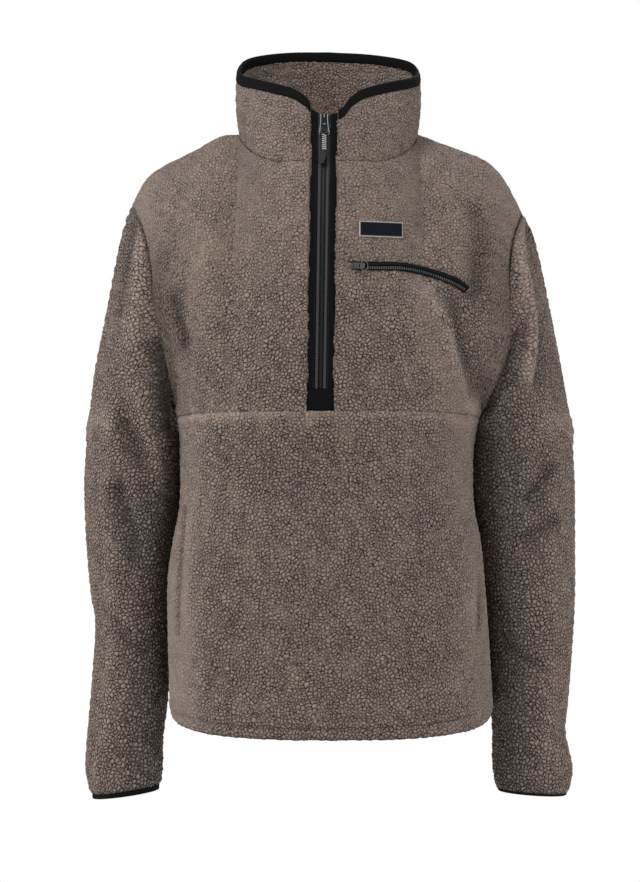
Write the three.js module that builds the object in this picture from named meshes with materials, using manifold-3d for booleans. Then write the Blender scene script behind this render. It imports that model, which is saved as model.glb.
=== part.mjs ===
// Sherpa fleece pullover with a half zip and a stand collar, filled out as when it is worn.
// Millimetres, +Z up, the front towards -Y. "Right" and "left" in names are +X and -X, as the front is seen.
// The origin is the base of the neck, midway between the shoulder points.
import * as THREE from 'three';
import { mergeVertices } from 'three/addons/utils/BufferGeometryUtils.js';
import Module from 'manifold-3d';

const wasm = await Module();
wasm.setup();

// Cloth and seams
const WALL = 5;              // fleece backing with its pile
const SEAM = 0.19;           // half the gap between two sewn pieces
const MITRE = 1.3;           // longest wall at a folded seam, as a share of WALL
const NEAR = 0.3;            // gap between a trim and what it lies on
const SEAM_Y = 8;            // side seams lie a little behind the middle
const ROUNDNESS = 2.4;       // 2 is an ellipse, more is boxier

// Heights
const HEM_Z = -612;          // hem at the side seams
const UNDERARM_Z = -297;     // underarm point, where the chest seam ends
const HEM_STITCH = 19;       // hem fold, from its edge to its stitching
const HEM_GROOVE = { deep: 1.8, wide: 3.5 };

// Neck and collar
const NECK_X = 0.2;          // middle of the neck
const NECK_WIDE = 98;        // half width at the neck seam
const RIM_WIDE = 100;        // half width at the rim
const RIM_TILT = -0.025;     // the rim's back leans down to the right
const NECK_SHARE = 0.42;     // share of the half panel that the neck takes
const BINDING = 10;          // height of the collar's binding
const COLLAR_BELLY = 2.5;    // how far the collar rounds out between its seam and its rim

// Half zip
const SLOT = 14.5;           // half width of the opening in the fleece
const BINDING_END = 1.2;     // the collar's binding stops this far short of the opening
const PATCH = 23;            // height of the closing patch
const ZIP_MIDDLE = -4.8;     // x of the zip's middle at the base of the neck
const ZIP_SLOPE = 0.0142;    // it leans a little to the left on its way down
const PULL_LEAN = 10;        // the pull hangs along the collar, which leans back

// Strips over the opening: distances across from the zip's middle, and depths below the fleece's face.
const STRIPS = {
  patch: { from: -SLOT + NEAR, to: SLOT - NEAR, high: 1, deep: 3.4 },
  placket: { from: 6.5, to: SLOT - NEAR, high: 1, deep: 3.2 },
  tape: { from: 2.7, to: 6.2, high: 2, deep: 3.4 },
  chain: { from: -2.4, to: 2.4, high: 1.2, deep: 4 },
};
const STRIP_TOP = 0.94;      // share of the collar's height that the strips reach

// Body girth by height: half widths to each side, depths to front and back of the side seams.
const GIRTH = [
  { z: -612, left: 174.5, right: 181.5, front: 122, back: 109 },
  { z: -580, left: 175, right: 179.5, front: 121, back: 108 },
  { z: -530, left: 176.5, right: 176.5, front: 118, back: 105 },
  { z: -470, left: 176.5, right: 172, front: 115, back: 101 },
  { z: -430, left: 171, right: 168, front: 113, back: 98 },
  { z: -390, left: 163.5, right: 160.5, front: 113, back: 97 },
  { z: -340, left: 163, right: 159.5, front: 117, back: 100 },
  { z: -297, left: 164, right: 164, front: 121, back: 104 },
];

// How far the middle of a panel hangs below (-) or stands above (+) its side seams.
const DIP = {
  front: { hem: -27, chest: 9 },
  back: { hem: -16, chest: 4 },
};

// Armhole seams from the underarm (first row) to the shoulder point (last row), at equal steps.
const ARMHOLE = {
  right: {
    front: [
      { x: 164, y: 8, z: -297 }, { x: 171, y: -30, z: -281 }, { x: 186, y: -54, z: -247 },
      { x: 196, y: -64, z: -210 }, { x: 196, y: -65, z: -172 }, { x: 197, y: -59, z: -136 },
      { x: 201, y: -42, z: -106 }, { x: 208, y: -20, z: -86 }, { x: 215, y: 8, z: -70 },
    ],
    back: [
      { x: 164, y: 8, z: -297 }, { x: 172, y: 40, z: -281 }, { x: 186, y: 62, z: -247 },
      { x: 195, y: 74, z: -208 }, { x: 196, y: 77, z: -170 }, { x: 197, y: 72, z: -134 },
      { x: 202, y: 56, z: -105 }, { x: 208, y: 33, z: -85 }, { x: 215, y: 8, z: -70 },
    ],
  },
  left: {
    front: [
      { x: -164, y: 8, z: -297 }, { x: -166, y: -30, z: -277 }, { x: -171, y: -54, z: -240 },
      { x: -181, y: -64, z: -204 }, { x: -189, y: -66, z: -170 }, { x: -192, y: -60, z: -137 },
      { x: -199, y: -42, z: -103 }, { x: -208, y: -20, z: -78 }, { x: -217, y: 8, z: -60 },
    ],
    back: [
      { x: -164, y: 8, z: -297 }, { x: -170, y: 40, z: -280 }, { x: -184, y: 62, z: -246 },
      { x: -194, y: 74, z: -207 }, { x: -196, y: 77, z: -168 }, { x: -197, y: 72, z: -132 },
      { x: -202, y: 56, z: -99 }, { x: -209, y: 33, z: -77 }, { x: -217, y: 8, z: -60 },
    ],
  },
};

// Shoulder seams from the neck (share 0) to the shoulder point (share 1).
const SHOULDER = {
  right: [
    { share: 0, x: 98.2, y: -8, z: 17 },
    { share: 0.17, x: 119, y: -4, z: 9.5 },
    { share: 0.42, x: 147.5, y: 0, z: -0.5 },
    { share: 0.68, x: 174.5, y: 4, z: -11.5 },
    { share: 0.78, x: 186, y: 6, z: -21.5 },
    { share: 0.87, x: 196.5, y: 7, z: -35 },
    { share: 1, x: 215, y: 8, z: -70 },
  ],
  left: [
    { share: 0, x: -97.8, y: -8, z: 17 },
    { share: 0.17, x: -119, y: -4, z: 14.5 },
    { share: 0.42, x: -147.5, y: 0, z: -0.5 },
    { share: 0.68, x: -176.5, y: 4, z: -14 },
    { share: 0.78, x: -190, y: 6, z: -22 },
    { share: 0.87, x: -202, y: 7, z: -33 },
    { share: 1, x: -217, y: 8, z: -60 },
  ],
};

// Cubic columns of the upper panels: how high the cloth runs on from the chest and how far it swells out,
// then how long its turn into the upper edge is, with the turn's lean inwards and its drop.
const CHEST_RISE = { middle: 100, side: 88, swell: 4 };
const TURN = {
  neck: { reach: 80, front: 0.38, back: 0.5, drop: 0.9 },
  shoulder: { reach: 88, reachEnd: 62, lean: 0.99, drop: 0.12 },
};

// Neck seam and rim by angle round the neck, from the front middle (0) to the back middle (180).
const COLLAR = [
  { angle: 0, seam: -19, rim: 34 },
  { angle: 9, seam: -19, rim: 39 },
  { angle: 14, seam: -19, rim: 50 },
  { angle: 22, seam: -19, rim: 59 },
  { angle: 34, seam: -19, rim: 65 },
  { angle: 50, seam: -12, rim: 71 },
  { angle: 72, seam: 4, rim: 78 },
  { angle: 90, seam: 17, rim: 86 },
  { angle: 110, seam: 25, rim: 99 },
  { angle: 130, seam: 30, rim: 107 },
  { angle: 155, seam: 33, rim: 113 },
  { angle: 180, seam: 34, rim: 115 },
];
const NECK_DEPTH = { seam: { middle: -8, reach: 80 }, rim: { middle: -9, reach: 71 } };

// Sleeve sections from just past the armhole to the cuff: the outer and inner points of each ring, its
// middle's y, its half depth, how far its front and back points are lifted and bowed outwards, and its own
// share of the armhole's outline, against an ellipse.
const SLEEVE = {
  right: [
    { outX: 228.5, outZ: -100, inX: 165.6, inZ: -300, y: 8, deep: 71, lift: 20, bow: 10, own: 1 },
    { outX: 245.5, outZ: -176, inX: 163.6, inZ: -309, y: 16, deep: 71, lift: 12, bow: 8, own: 0.5 },
    { outX: 259.5, outZ: -245, inX: 160.7, inZ: -322, y: 27, deep: 69, lift: 4, bow: 4, own: 0.15 },
    { outX: 269.5, outZ: -305, inX: 157.8, inZ: -345, y: 38, deep: 66, lift: 0, bow: 0, own: 0 },
    { outX: 274.5, outZ: -363, inX: 159, inZ: -381, y: 47, deep: 63, lift: 0, bow: 0, own: 0 },
    { outX: 275.5, outZ: -429, inX: 166, inZ: -436, y: 53, deep: 59, lift: 0, bow: 0, own: 0 },
    { outX: 275.5, outZ: -495, inX: 172.5, inZ: -497, y: 54, deep: 55, lift: 0, bow: 0, own: 0 },
    { outX: 272.5, outZ: -552, inX: 176, inZ: -552, y: 54, deep: 51, lift: 0, bow: 0, own: 0 },
    { outX: 267.5, outZ: -612, inX: 181, inZ: -610, y: 51, deep: 47, lift: 0, bow: 0, own: 0 },
    { outX: 264.5, outZ: -644, inX: 183, inZ: -642, y: 47, deep: 44, lift: 0, bow: 0, own: 0 },
    { outX: 272, outZ: -683, inX: 183, inZ: -680, y: 42, deep: 42, lift: 0, bow: 0, own: 0 },
    { outX: 267.5, outZ: -711, inX: 186.5, inZ: -705.5, y: 40, deep: 38, lift: 0, bow: 0, own: 0 },
  ],
  left: [
    { outX: -229, outZ: -98, inX: -165.4, inZ: -300, y: 8, deep: 71, lift: 20, bow: 10, own: 1 },
    { outX: -245, outZ: -176, inX: -164.3, inZ: -309, y: 16, deep: 71, lift: 12, bow: 8, own: 0.5 },
    { outX: -259, outZ: -245, inX: -162.8, inZ: -322, y: 27, deep: 69, lift: 4, bow: 4, own: 0.15 },
    { outX: -266, outZ: -305, inX: -161.3, inZ: -345, y: 38, deep: 66, lift: 0, bow: 0, own: 0 },
    { outX: -271.5, outZ: -363, inX: -163, inZ: -381, y: 47, deep: 63, lift: 0, bow: 0, own: 0 },
    { outX: -270, outZ: -429, inX: -170, inZ: -436, y: 54, deep: 59, lift: 0, bow: 0, own: 0 },
    { outX: -265, outZ: -490, inX: -175, inZ: -494, y: 57, deep: 55, lift: 0, bow: 0, own: 0 },
    { outX: -260, outZ: -526, inX: -175.5, inZ: -530, y: 57, deep: 52, lift: 0, bow: 0, own: 0 },
    { outX: -264.5, outZ: -600, inX: -178.5, inZ: -604, y: 52, deep: 48, lift: 0, bow: 0, own: 0 },
    { outX: -268.5, outZ: -650, inX: -183.5, inZ: -648, y: 46, deep: 44, lift: 0, bow: 0, own: 0 },
    { outX: -270, outZ: -684, inX: -184, inZ: -678, y: 42, deep: 42, lift: 0, bow: 0, own: 0 },
    { outX: -264.5, outZ: -712, inX: -185.5, inZ: -701, y: 40, deep: 38, lift: 0, bow: 0, own: 0 },
  ],
};

// Cuff bindings: how far in from the fleece's face they start and end, and how far they stand below it.
const CUFF = { start: 1.4, end: 4.2, edge: 2.4, right: 2.6, left: 5.6 };

// Largest folds: a soft ridge (+) or trough (-) along three points, x and z, on one face of one piece.
const FOLDS = [
  { on: 'body', face: 'front', path: [[100, -165], [116, -212], [134, -278]], width: 20, depth: 6 },
  { on: 'body', face: 'front', path: [[128, -165], [138, -212], [152, -264]], width: 18, depth: -7 },
  { on: 'body', face: 'front', path: [[158, -72], [162, -115], [158, -160]], width: 15, depth: -6 },
  { on: 'body', face: 'front', path: [[-160, -165], [-155, -190], [-150, -212]], width: 12, depth: -5 },
  { on: 'body', face: 'front', path: [[-130, -110], [-138, -150], [-142, -200]], width: 18, depth: 4 },
  { on: 'body', face: 'front', path: [[-110, -330], [-60, -350], [0, -345]], width: 26, depth: -3 },
  { on: 'body', face: 'front', path: [[110, -420], [95, -500], [100, -570]], width: 26, depth: -3.5 },
  { on: 'body', face: 'front', path: [[-115, -450], [-105, -520], [-112, -580]], width: 24, depth: -3 },
  { on: 'body', face: 'back', path: [[-130, -140], [-118, -210], [-100, -280]], width: 20, depth: -6 },
  { on: 'body', face: 'back', path: [[128, -150], [112, -220], [98, -300]], width: 20, depth: -6 },
  { on: 'body', face: 'back', path: [[-90, -360], [0, -385], [95, -365]], width: 28, depth: -5 },
  { on: 'body', face: 'back', path: [[-60, -480], [-50, -540], [-66, -600]], width: 24, depth: -4 },
  { on: 'sleeve', face: 'front', path: [[-214, -78], [-216, -115], [-219, -140]], width: 12, depth: -4 },
  { on: 'sleeve', face: 'front', path: [[207, -84], [213, -125], [222, -170]], width: 11, depth: 4 },
  { on: 'sleeve', face: 'front', path: [[222, -170], [224, -204], [218, -258]], width: 11, depth: 6 },
  { on: 'sleeve', face: 'front', path: [[-222, -292], [-216, -310], [-212, -322]], width: 15, depth: -6 },
  { on: 'sleeve', face: 'front', path: [[-228, -378], [-222, -396], [-218, -414]], width: 14, depth: -6 },
  { on: 'sleeve', face: 'front', path: [[238, -352], [228, -370], [218, -386]], width: 12, depth: -7 },
  { on: 'sleeve', face: 'front', path: [[244, -410], [228, -420], [214, -427]], width: 12, depth: -4 },
  { on: 'sleeve', face: 'back', path: [[250, -368], [225, -384], [198, -392]], width: 15, depth: -7 },
  { on: 'sleeve', face: 'back', path: [[-250, -352], [-226, -372], [-198, -384]], width: 15, depth: -7 },
];

// Grid steps. Shares of the neckline half are finer near the zip, where the rim turns down.
const NECK_STEPS = [0, 0.06, 0.15, 0.3, 0.52, 0.76];
const SHOULDER_STEPS = 8;
const BACK_NECK_STEPS = 6;
const ARMHOLE_STEPS = 12;
const LOWER_STEPS = [0, 0.03, 0.053, 0.061, 0.07, 0.11, 0.22, 0.33, 0.44, 0.55, 0.66, 0.77, 0.885, 1];
const SLEEVE_STEPS = 22;
const COLLAR_STEPS = 4;
const ZIP_STEPS = 12;

const COLOURS = { fleece: 0x83776b, trim: 0x141416, tape: 0x2b2c2f, metal: 0x1d1e20, steel: 0x9b9ea2 };

// Vector and curve helpers
const lerp = (a, b, f) => a + (b - a) * f;
const clamp01 = f => Math.min(Math.max(f, 0), 1);
const radians = degrees => degrees * Math.PI / 180;
const vec = (x, y, z) => new THREE.Vector3(x, y, z);

function smoothstep(from, to, value) {
  const f = clamp01((value - from) / (to - from));
  return f * f * (3 - 2 * f);
}

function range(count) {
  return Array.from({ length: count + 1 }, (_, index) => index / count);
}

// Cubic Hermite pieces through the rows of a table, with slopes taken from the neighbouring rows.
function along(rows, key, name, at) {
  const last = rows.length - 1;
  let k = 0;
  while (k < last - 1 && at > rows[k + 1][key]) k += 1;
  const slope = index => {
    const before = rows[Math.max(index - 1, 0)];
    const after = rows[Math.min(index + 1, last)];
    return (after[name] - before[name]) / (after[key] - before[key]);
  };
  const span = rows[k + 1][key] - rows[k][key];
  const f = (at - rows[k][key]) / span;
  const g = f - 1;
  return (1 + 2 * f) * g * g * rows[k][name] + f * g * g * span * slope(k)
    + f * f * (3 - 2 * f) * rows[k + 1][name] + f * f * g * span * slope(k + 1);
}

// Point on a list of equally spaced points, share 0 to 1.
function alongPoints(points, share) {
  const rows = points.map((point, index) => ({ ...point, index }));
  const at = clamp01(share) * (points.length - 1);
  return vec(along(rows, 'index', 'x', at), along(rows, 'index', 'y', at), along(rows, 'index', 'z', at));
}

// Height of all folds at a point: a bell across each path, by the nearest distance in x and z.
function foldHeight(piece, face, point) {
  let height = 0;
  for (const fold of FOLDS) {
    if (fold.on !== piece || fold.face !== face) continue;
    let nearest = Infinity;
    for (let k = 0; k < fold.path.length - 1; k += 1) {
      const [ax, az] = fold.path[k];
      const [bx, bz] = fold.path[k + 1];
      const f = clamp01(((point.x - ax) * (bx - ax) + (point.z - az) * (bz - az))
        / ((bx - ax) ** 2 + (bz - az) ** 2));
      nearest = Math.min(nearest, Math.hypot(point.x - lerp(ax, bx, f), point.z - lerp(az, bz, f)));
    }
    height += fold.depth * Math.exp(-((nearest / fold.width) ** 2));
  }
  return height;
}

// Body below the underarm. s runs from the left side seam (-1) to the right one (1), t from hem to chest.
function lowerBody(face, s, t) {
  const sign = face === 'front' ? -1 : 1;
  const edgeZ = lerp(HEM_Z, UNDERARM_Z, t);
  const wide = along(GIRTH, 'z', s < 0 ? 'left' : 'right', edgeZ);
  const deep = along(GIRTH, 'z', face, edgeZ);
  const turn = s * Math.PI / 2;
  const round = (Math.abs(Math.sin(turn)) ** ROUNDNESS + Math.abs(Math.cos(turn)) ** ROUNDNESS)
    ** (-1 / ROUNDNESS);
  const middle = 1 - Math.abs(s) ** 2.7;
  const stitch = (t * (UNDERARM_Z - HEM_Z) - HEM_STITCH) / HEM_GROOVE.wide;
  const groove = -HEM_GROOVE.deep * Math.exp(-(stitch ** 2));
  const point = vec(
    wide * Math.sin(turn) * round,
    SEAM_Y + sign * (deep + groove) * Math.cos(turn) * round,
    edgeZ + lerp(DIP[face].hem, DIP[face].chest, t) * middle,
  );
  point.y += sign * foldHeight('body', face, point) * (1 - s ** 8);
  return point;
}

// Neck seam (height 'seam') or rim (height 'rim') at an angle round the neck; side is 1 or -1 in x.
function neckRing(height, angle, side) {
  const wide = height === 'seam' ? NECK_WIDE : RIM_WIDE;
  const { middle, reach } = NECK_DEPTH[height];
  const across = side * wide * Math.sin(radians(angle));
  const cos = Math.cos(radians(angle));
  const tilt = height === 'rim' ? RIM_TILT * across * (1 - cos) / 2 : 0;
  return vec(NECK_X + across, middle - reach * cos, along(COLLAR, 'angle', height, angle) + tilt);
}

function neckAngle(face, s) {
  const quarter = 90 * Math.abs(s) / NECK_SHARE;
  return face === 'front' ? quarter : 180 - quarter;
}

// Upper edge of a body panel: the neck seam, then the shoulder seam.
function topEdge(face, s) {
  const size = Math.abs(s);
  if (size <= NECK_SHARE) return neckRing('seam', neckAngle(face, s), s < 0 ? -1 : 1);
  const rows = SHOULDER[s < 0 ? 'left' : 'right'];
  const share = (size - NECK_SHARE) / (1 - NECK_SHARE);
  return vec(...['x', 'y', 'z'].map(name => along(rows, 'share', name, share)));
}

// Cubic Bezier columns from the chest to the upper edge; the outermost ones bend into the armhole.
function plainColumn(face, s, v) {
  const sign = face === 'front' ? -1 : 1;
  const low = lowerBody(face, s, 1);
  const top = topEdge(face, s);
  const size = Math.abs(s);
  const toShoulder = smoothstep(0.06, 0.64, size);
  const shoulderReach = lerp(TURN.shoulder.reach, TURN.shoulder.reachEnd, smoothstep(NECK_SHARE, 1, size));
  const reach = lerp(TURN.neck.reach, shoulderReach, toShoulder);
  const back = lerp(TURN.neck[face], TURN.shoulder.lean, toShoulder) * reach;
  const down = lerp(TURN.neck.drop, TURN.shoulder.drop, toShoulder) * reach;
  const rise = lerp(CHEST_RISE.middle, CHEST_RISE.side, size);
  const belly = low.clone().add(vec(0, sign * CHEST_RISE.swell, rise));
  const crown = top.clone().add(vec(0, sign * back, -down));
  const g = 1 - v;
  return low.multiplyScalar(g ** 3)
    .addScaledVector(belly, 3 * g * g * v)
    .addScaledVector(crown, 3 * g * v * v)
    .addScaledVector(top, v ** 3);
}

function upperBody(face, s, v) {
  const sign = face === 'front' ? -1 : 1;
  const side = s < 0 ? 'left' : 'right';
  const point = plainColumn(face, s, v);
  const seam = alongPoints(ARMHOLE[side][face], v);
  const edge = plainColumn(face, s < 0 ? -1 : 1, v);
  point.addScaledVector(seam.sub(edge), Math.abs(s) ** 3);
  const fade = (1 - s ** 8) * (1 - smoothstep(0.8, 1, v)) * smoothstep(0, 0.12, v);
  point.y += sign * foldHeight('body', face, point) * fade;
  return point;
}

// Sleeve ring point. angle 0 is the outer top, 90 the front, 180 the underarm, 270 the back.
function armholePoint(side, angle) {
  const front = angle <= 180;
  const share = front ? 1 - angle / 180 : (angle - 180) / 180;
  return alongPoints(ARMHOLE[side][front ? 'front' : 'back'], share);
}

function sleeveRing(side, row, angle) {
  if (row === 0) return armholePoint(side, angle);
  const ring = SLEEVE[side][row - 1];
  const outwards = side === 'left' ? -1 : 1;
  const cos = Math.cos(radians(angle));
  const sin = Math.sin(radians(angle));
  const outer = (1 + cos) / 2;
  const oval = vec(
    lerp(ring.inX, ring.outX, outer),
    ring.y - ring.deep * sin,
    lerp(ring.inZ, ring.outZ, outer),
  );
  const top = vec(ring.outX, ring.y, ring.outZ).sub(armholePoint(side, 0));
  const under = vec(ring.inX, ring.y, ring.inZ).sub(armholePoint(side, 180));
  const loop = armholePoint(side, angle).add(under.lerp(top, outer));
  const point = oval.lerp(loop, ring.own);
  return point.add(vec(outwards * ring.bow * sin * sin, 0, ring.lift * sin * sin));
}

// Sleeve surface: each angle follows a smooth curve through its rings, h from armhole to cuff.
function sleeve(side, angle, h) {
  const count = SLEEVE[side].length;
  const rings = range(count).map((share, row) => sleeveRing(side, row, angle));
  const point = alongPoints(rings, h);
  const middle = alongPoints(range(count).map((share, row) => sleeveRing(side, row, 0)
    .add(sleeveRing(side, row, 180)).multiplyScalar(0.5)), h);
  const radial = point.clone().sub(middle);
  const face = radial.y < 0 ? 'front' : 'back';
  const fade = smoothstep(0, 0.1, h) * Math.min(1, Math.abs(radial.y) / 25);
  return point.addScaledVector(radial.normalize(), fade * foldHeight('sleeve', face, point));
}

// Collar from the neck seam (w 0) to the rim (w 1), with a slight outward belly.
function collar(angle, side, w) {
  const seam = neckRing('seam', angle, side);
  const rim = neckRing('rim', angle, side);
  const point = seam.clone().lerp(rim, w);
  const outwards = vec(side * Math.sin(radians(angle)), -Math.cos(radians(angle)), 0);
  const belly = COLLAR_BELLY * Math.sin(Math.PI * w) * smoothstep(4, 30, angle);
  return point.addScaledVector(outwards, belly);
}

function collarTop(angle) {
  const seam = neckRing('seam', angle, 1);
  const rim = neckRing('rim', angle, 1);
  return 1 - BINDING / seam.distanceTo(rim);
}

// Middle line of the zip
const zipX = z => ZIP_MIDDLE + ZIP_SLOPE * z;

// Share s at which the front panel is at a given distance d from the zip's middle, at height v.
function shareAt(d, v) {
  let low = -0.3;
  let high = 0.3;
  for (let step = 0; step < 30; step += 1) {
    const s = (low + high) / 2;
    const point = upperBody('front', s, v);
    if (point.x < zipX(point.z) + d) low = s;
    else high = s;
  }
  return (low + high) / 2;
}

// Angle at which the collar is at distance d from the zip's middle, signed by its side.
function angleAt(d, w) {
  let low = -40;
  let high = 40;
  for (let step = 0; step < 30; step += 1) {
    const angle = (low + high) / 2;
    const point = collar(Math.abs(angle), angle < 0 ? -1 : 1, w);
    if (point.x < zipX(point.z) + d) low = angle;
    else high = angle;
  }
  return (low + high) / 2;
}

// Point over the opening: d across from the zip's middle, station { v } on the front or { w } on the collar.
function openingPoint(d, station) {
  if (station.w === undefined) return upperBody('front', shareAt(d, station.v), station.v);
  const angle = angleAt(d, station.w);
  return collar(Math.abs(angle), angle < 0 ? -1 : 1, station.w);
}

// Closed solids from grids
// A grid is a list of columns, each a list of points. Columns run so that column step x row step points out.
function gridNormals(grid, ring) {
  const columns = grid.length;
  return grid.map((column, i) => column.map((point, j) => {
    const before = ring ? grid[(i + columns - 1) % columns] : grid[Math.max(i - 1, 0)];
    const after = ring ? grid[(i + 1) % columns] : grid[Math.min(i + 1, columns - 1)];
    const across = after[j].clone().sub(before[j]);
    const up = column[Math.min(j + 1, column.length - 1)].clone().sub(column[Math.max(j - 1, 0)]);
    return across.cross(up).normalize();
  }));
}

// Triangles of a shell between an outer and an inner grid, with its four edges closed.
function shellGeometry(outer, inner, ring) {
  const columns = outer.length;
  const rows = outer[0].length;
  const positions = [];
  for (const grid of [outer, inner]) {
    for (const column of grid) column.forEach(point => positions.push(point.x, point.y, point.z));
  }
  const at = (layer, i, j) => (layer * columns + (i % columns)) * rows + j;
  const index = [];
  const quad = (a, b, c, d) => index.push(a, b, c, a, c, d);
  // Two pieces that meet at a seam split its twisted end faces along the same diagonal: the one that
  // starts at the higher outer corner. a and b are outer corners, c and d the inner ones behind b and a.
  const rank = k => positions[3 * k + 2] + 0.37 * positions[3 * k] + 0.11 * positions[3 * k + 1];
  const endQuad = (a, b, c, d) => {
    if (rank(a) > rank(b)) quad(a, b, c, d);
    else quad(b, c, d, a);
  };
  const spans = ring ? columns : columns - 1;
  for (let i = 0; i < spans; i += 1) {
    for (let j = 0; j < rows - 1; j += 1) {
      quad(at(0, i, j), at(0, i + 1, j), at(0, i + 1, j + 1), at(0, i, j + 1));
      quad(at(1, i, j), at(1, i, j + 1), at(1, i + 1, j + 1), at(1, i + 1, j));
    }
    endQuad(at(0, i + 1, 0), at(0, i, 0), at(1, i, 0), at(1, i + 1, 0));
    endQuad(at(0, i, rows - 1), at(0, i + 1, rows - 1), at(1, i + 1, rows - 1), at(1, i, rows - 1));
  }
  if (!ring) {
    for (let j = 0; j < rows - 1; j += 1) {
      endQuad(at(0, 0, j), at(0, 0, j + 1), at(1, 0, j + 1), at(1, 0, j));
      const i = columns - 1;
      endQuad(at(0, i, j + 1), at(0, i, j), at(1, i, j), at(1, i, j + 1));
    }
  }
  const geometry = new THREE.BufferGeometry();
  geometry.setAttribute('position', new THREE.Float32BufferAttribute(positions, 3));
  geometry.setIndex(index);
  return geometry;
}

const garment = new THREE.Group();

// Turns a closed geometry's faces outwards, by the sign of its volume.
function faceOut(geometry) {
  if (!geometry.index) return;
  const position = geometry.attributes.position;
  const index = geometry.index.array;
  const corner = k => vec(0, 0, 0).fromBufferAttribute(position, index[k]);
  let volume = 0;
  for (let k = 0; k < index.length; k += 3) volume += corner(k).cross(corner(k + 1)).dot(corner(k + 2));
  if (volume < 0) geometry.index.array.reverse();
}

function addMesh(name, geometry, colour, roughness = 0.9, metalness = 0) {
  faceOut(geometry);
  const material = new THREE.MeshStandardMaterial({ color: colour, roughness, metalness });
  const mesh = new THREE.Mesh(geometry, material);
  mesh.name = name;
  garment.add(mesh);
  return mesh;
}

// Fleece pieces are gathered first, because walls that meet at a seam share one direction there.
const fleece = [];

function addFleece(name, group, grid, ring = false) {
  fleece.push({ name, group, grid, ring, normals: gridNormals(grid, ring) });
}

// Points within about 0.02 mm of each other are one seam point.
const seamKey = point => [point.x, point.y, point.z].map(n => Math.round(n / 0.02)).join(' ');

function isEdge(piece, i, j) {
  const lastColumn = piece.grid.length - 1;
  const lastRow = piece.grid[0].length - 1;
  return j === 0 || j === lastRow || (!piece.ring && (i === 0 || i === lastColumn));
}

// Mean direction at each seam point: first within a group of pieces, then between the groups.
function seamDirections() {
  const seams = new Map();
  for (const piece of fleece) {
    piece.grid.forEach((column, i) => column.forEach((point, j) => {
      if (!isEdge(piece, i, j)) return;
      const key = seamKey(point);
      if (!seams.has(key)) seams.set(key, {});
      const groups = seams.get(key);
      groups[piece.group] = (groups[piece.group] || vec(0, 0, 0)).add(piece.normals[i][j]);
    }));
  }
  const means = new Map();
  for (const [key, groups] of seams) {
    const units = Object.values(groups).map(sum => sum.normalize());
    means.set(key, units.reduce((sum, unit) => sum.add(unit), vec(0, 0, 0)).divideScalar(units.length));
  }
  return means;
}

function buildFleece() {
  const means = seamDirections();
  for (const piece of fleece) {
    const { name, grid, ring, normals } = piece;
    const inner = grid.map((column, i) => column.map((point, j) => {
      const mean = isEdge(piece, i, j) ? means.get(seamKey(point)) : normals[i][j];
      const length = mean.length();
      const wall = WALL * Math.min(1 / length, MITRE);
      return point.clone().addScaledVector(mean, -wall / length);
    }));
    const outer = grid.map(column => column.map(point => point.clone()));
    pullIn(outer, inner, ring);
    addMesh(name, shellGeometry(outer, inner, ring), COLOURS.fleece);
  }
}

// Opens the seam gap: each edge point moves along the cloth, away from the seam.
function pullIn(outer, inner, ring) {
  const move = (i, j, towardI, towardJ, grids) => {
    const step = grids[0][towardI][towardJ].clone().sub(grids[0][i][j]).normalize().multiplyScalar(SEAM);
    grids.forEach(grid => grid[i][j].add(step));
  };
  const lastColumn = outer.length - 1;
  const lastRow = outer[0].length - 1;
  const grids = [outer, inner];
  for (let i = 0; i <= lastColumn; i += 1) {
    move(i, 0, i, 1, grids);
    move(i, lastRow, i, lastRow - 1, grids);
  }
  if (ring) return;
  for (let j = 0; j <= lastRow; j += 1) {
    move(0, j, 1, j, grids);
    move(lastColumn, j, lastColumn - 1, j, grids);
  }
}

// Shares s of one half of the front, from the zip's opening at height v to the side.
function halfShares(side, v) {
  const slot = shareAt(side * SLOT, v);
  const neck = NECK_STEPS.map(step => lerp(slot, side * NECK_SHARE, step));
  const shoulder = range(SHOULDER_STEPS).map(step => side * lerp(NECK_SHARE, 1, step));
  return [...neck, ...shoulder];
}

function leftToRight(columns, side) {
  return side < 0 ? columns.reverse() : columns;
}

function frontYoke(name, side) {
  const rows = range(ARMHOLE_STEPS);
  const shares = rows.map(v => halfShares(side, v));
  const columns = shares[0].map((first, i) => rows.map((v, j) => upperBody('front', shares[j][i], v)));
  addFleece(name, 'body', leftToRight(columns, side));
}

function frontLower() {
  const shares = [...halfShares(-1, 0).reverse(), ...halfShares(1, 0)];
  addFleece('front_lower', 'body', shares.map(s => LOWER_STEPS.map(t => lowerBody('front', s, t))));
}

function backPanel() {
  const shoulder = range(SHOULDER_STEPS).map(step => lerp(1, NECK_SHARE, step));
  const neck = range(2 * BACK_NECK_STEPS).slice(1, -1).map(step => NECK_SHARE * (1 - 2 * step));
  const shares = [...shoulder, ...neck, ...shoulder.map(s => -s).reverse()];
  const columns = shares.map(s => [
    ...LOWER_STEPS.map(t => lowerBody('back', s, t)),
    ...range(ARMHOLE_STEPS).slice(1).map(v => upperBody('back', s, v)),
  ]);
  addFleece('back_panel', 'body', columns);
}

function sleevePiece(name, side) {
  const angles = range(2 * ARMHOLE_STEPS).slice(0, -1).map(share => 360 * share);
  const order = side === 'right' ? angles : [...angles].reverse();
  const columns = order.map(angle => range(SLEEVE_STEPS).map(h => sleeve(side, angle, h)));
  addFleece(name, name, columns, true);
}

// Collar columns run from the left of the zip, round the back, to the right of the zip.
function collarAngles(side) {
  const front = halfShares(side, 1).filter(s => Math.abs(s) < NECK_SHARE - 1e-6);
  const back = range(BACK_NECK_STEPS).slice(1).map(step => 90 + 90 * step);
  return [...front.map(s => neckAngle('front', s)), 90, ...back];
}

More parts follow.
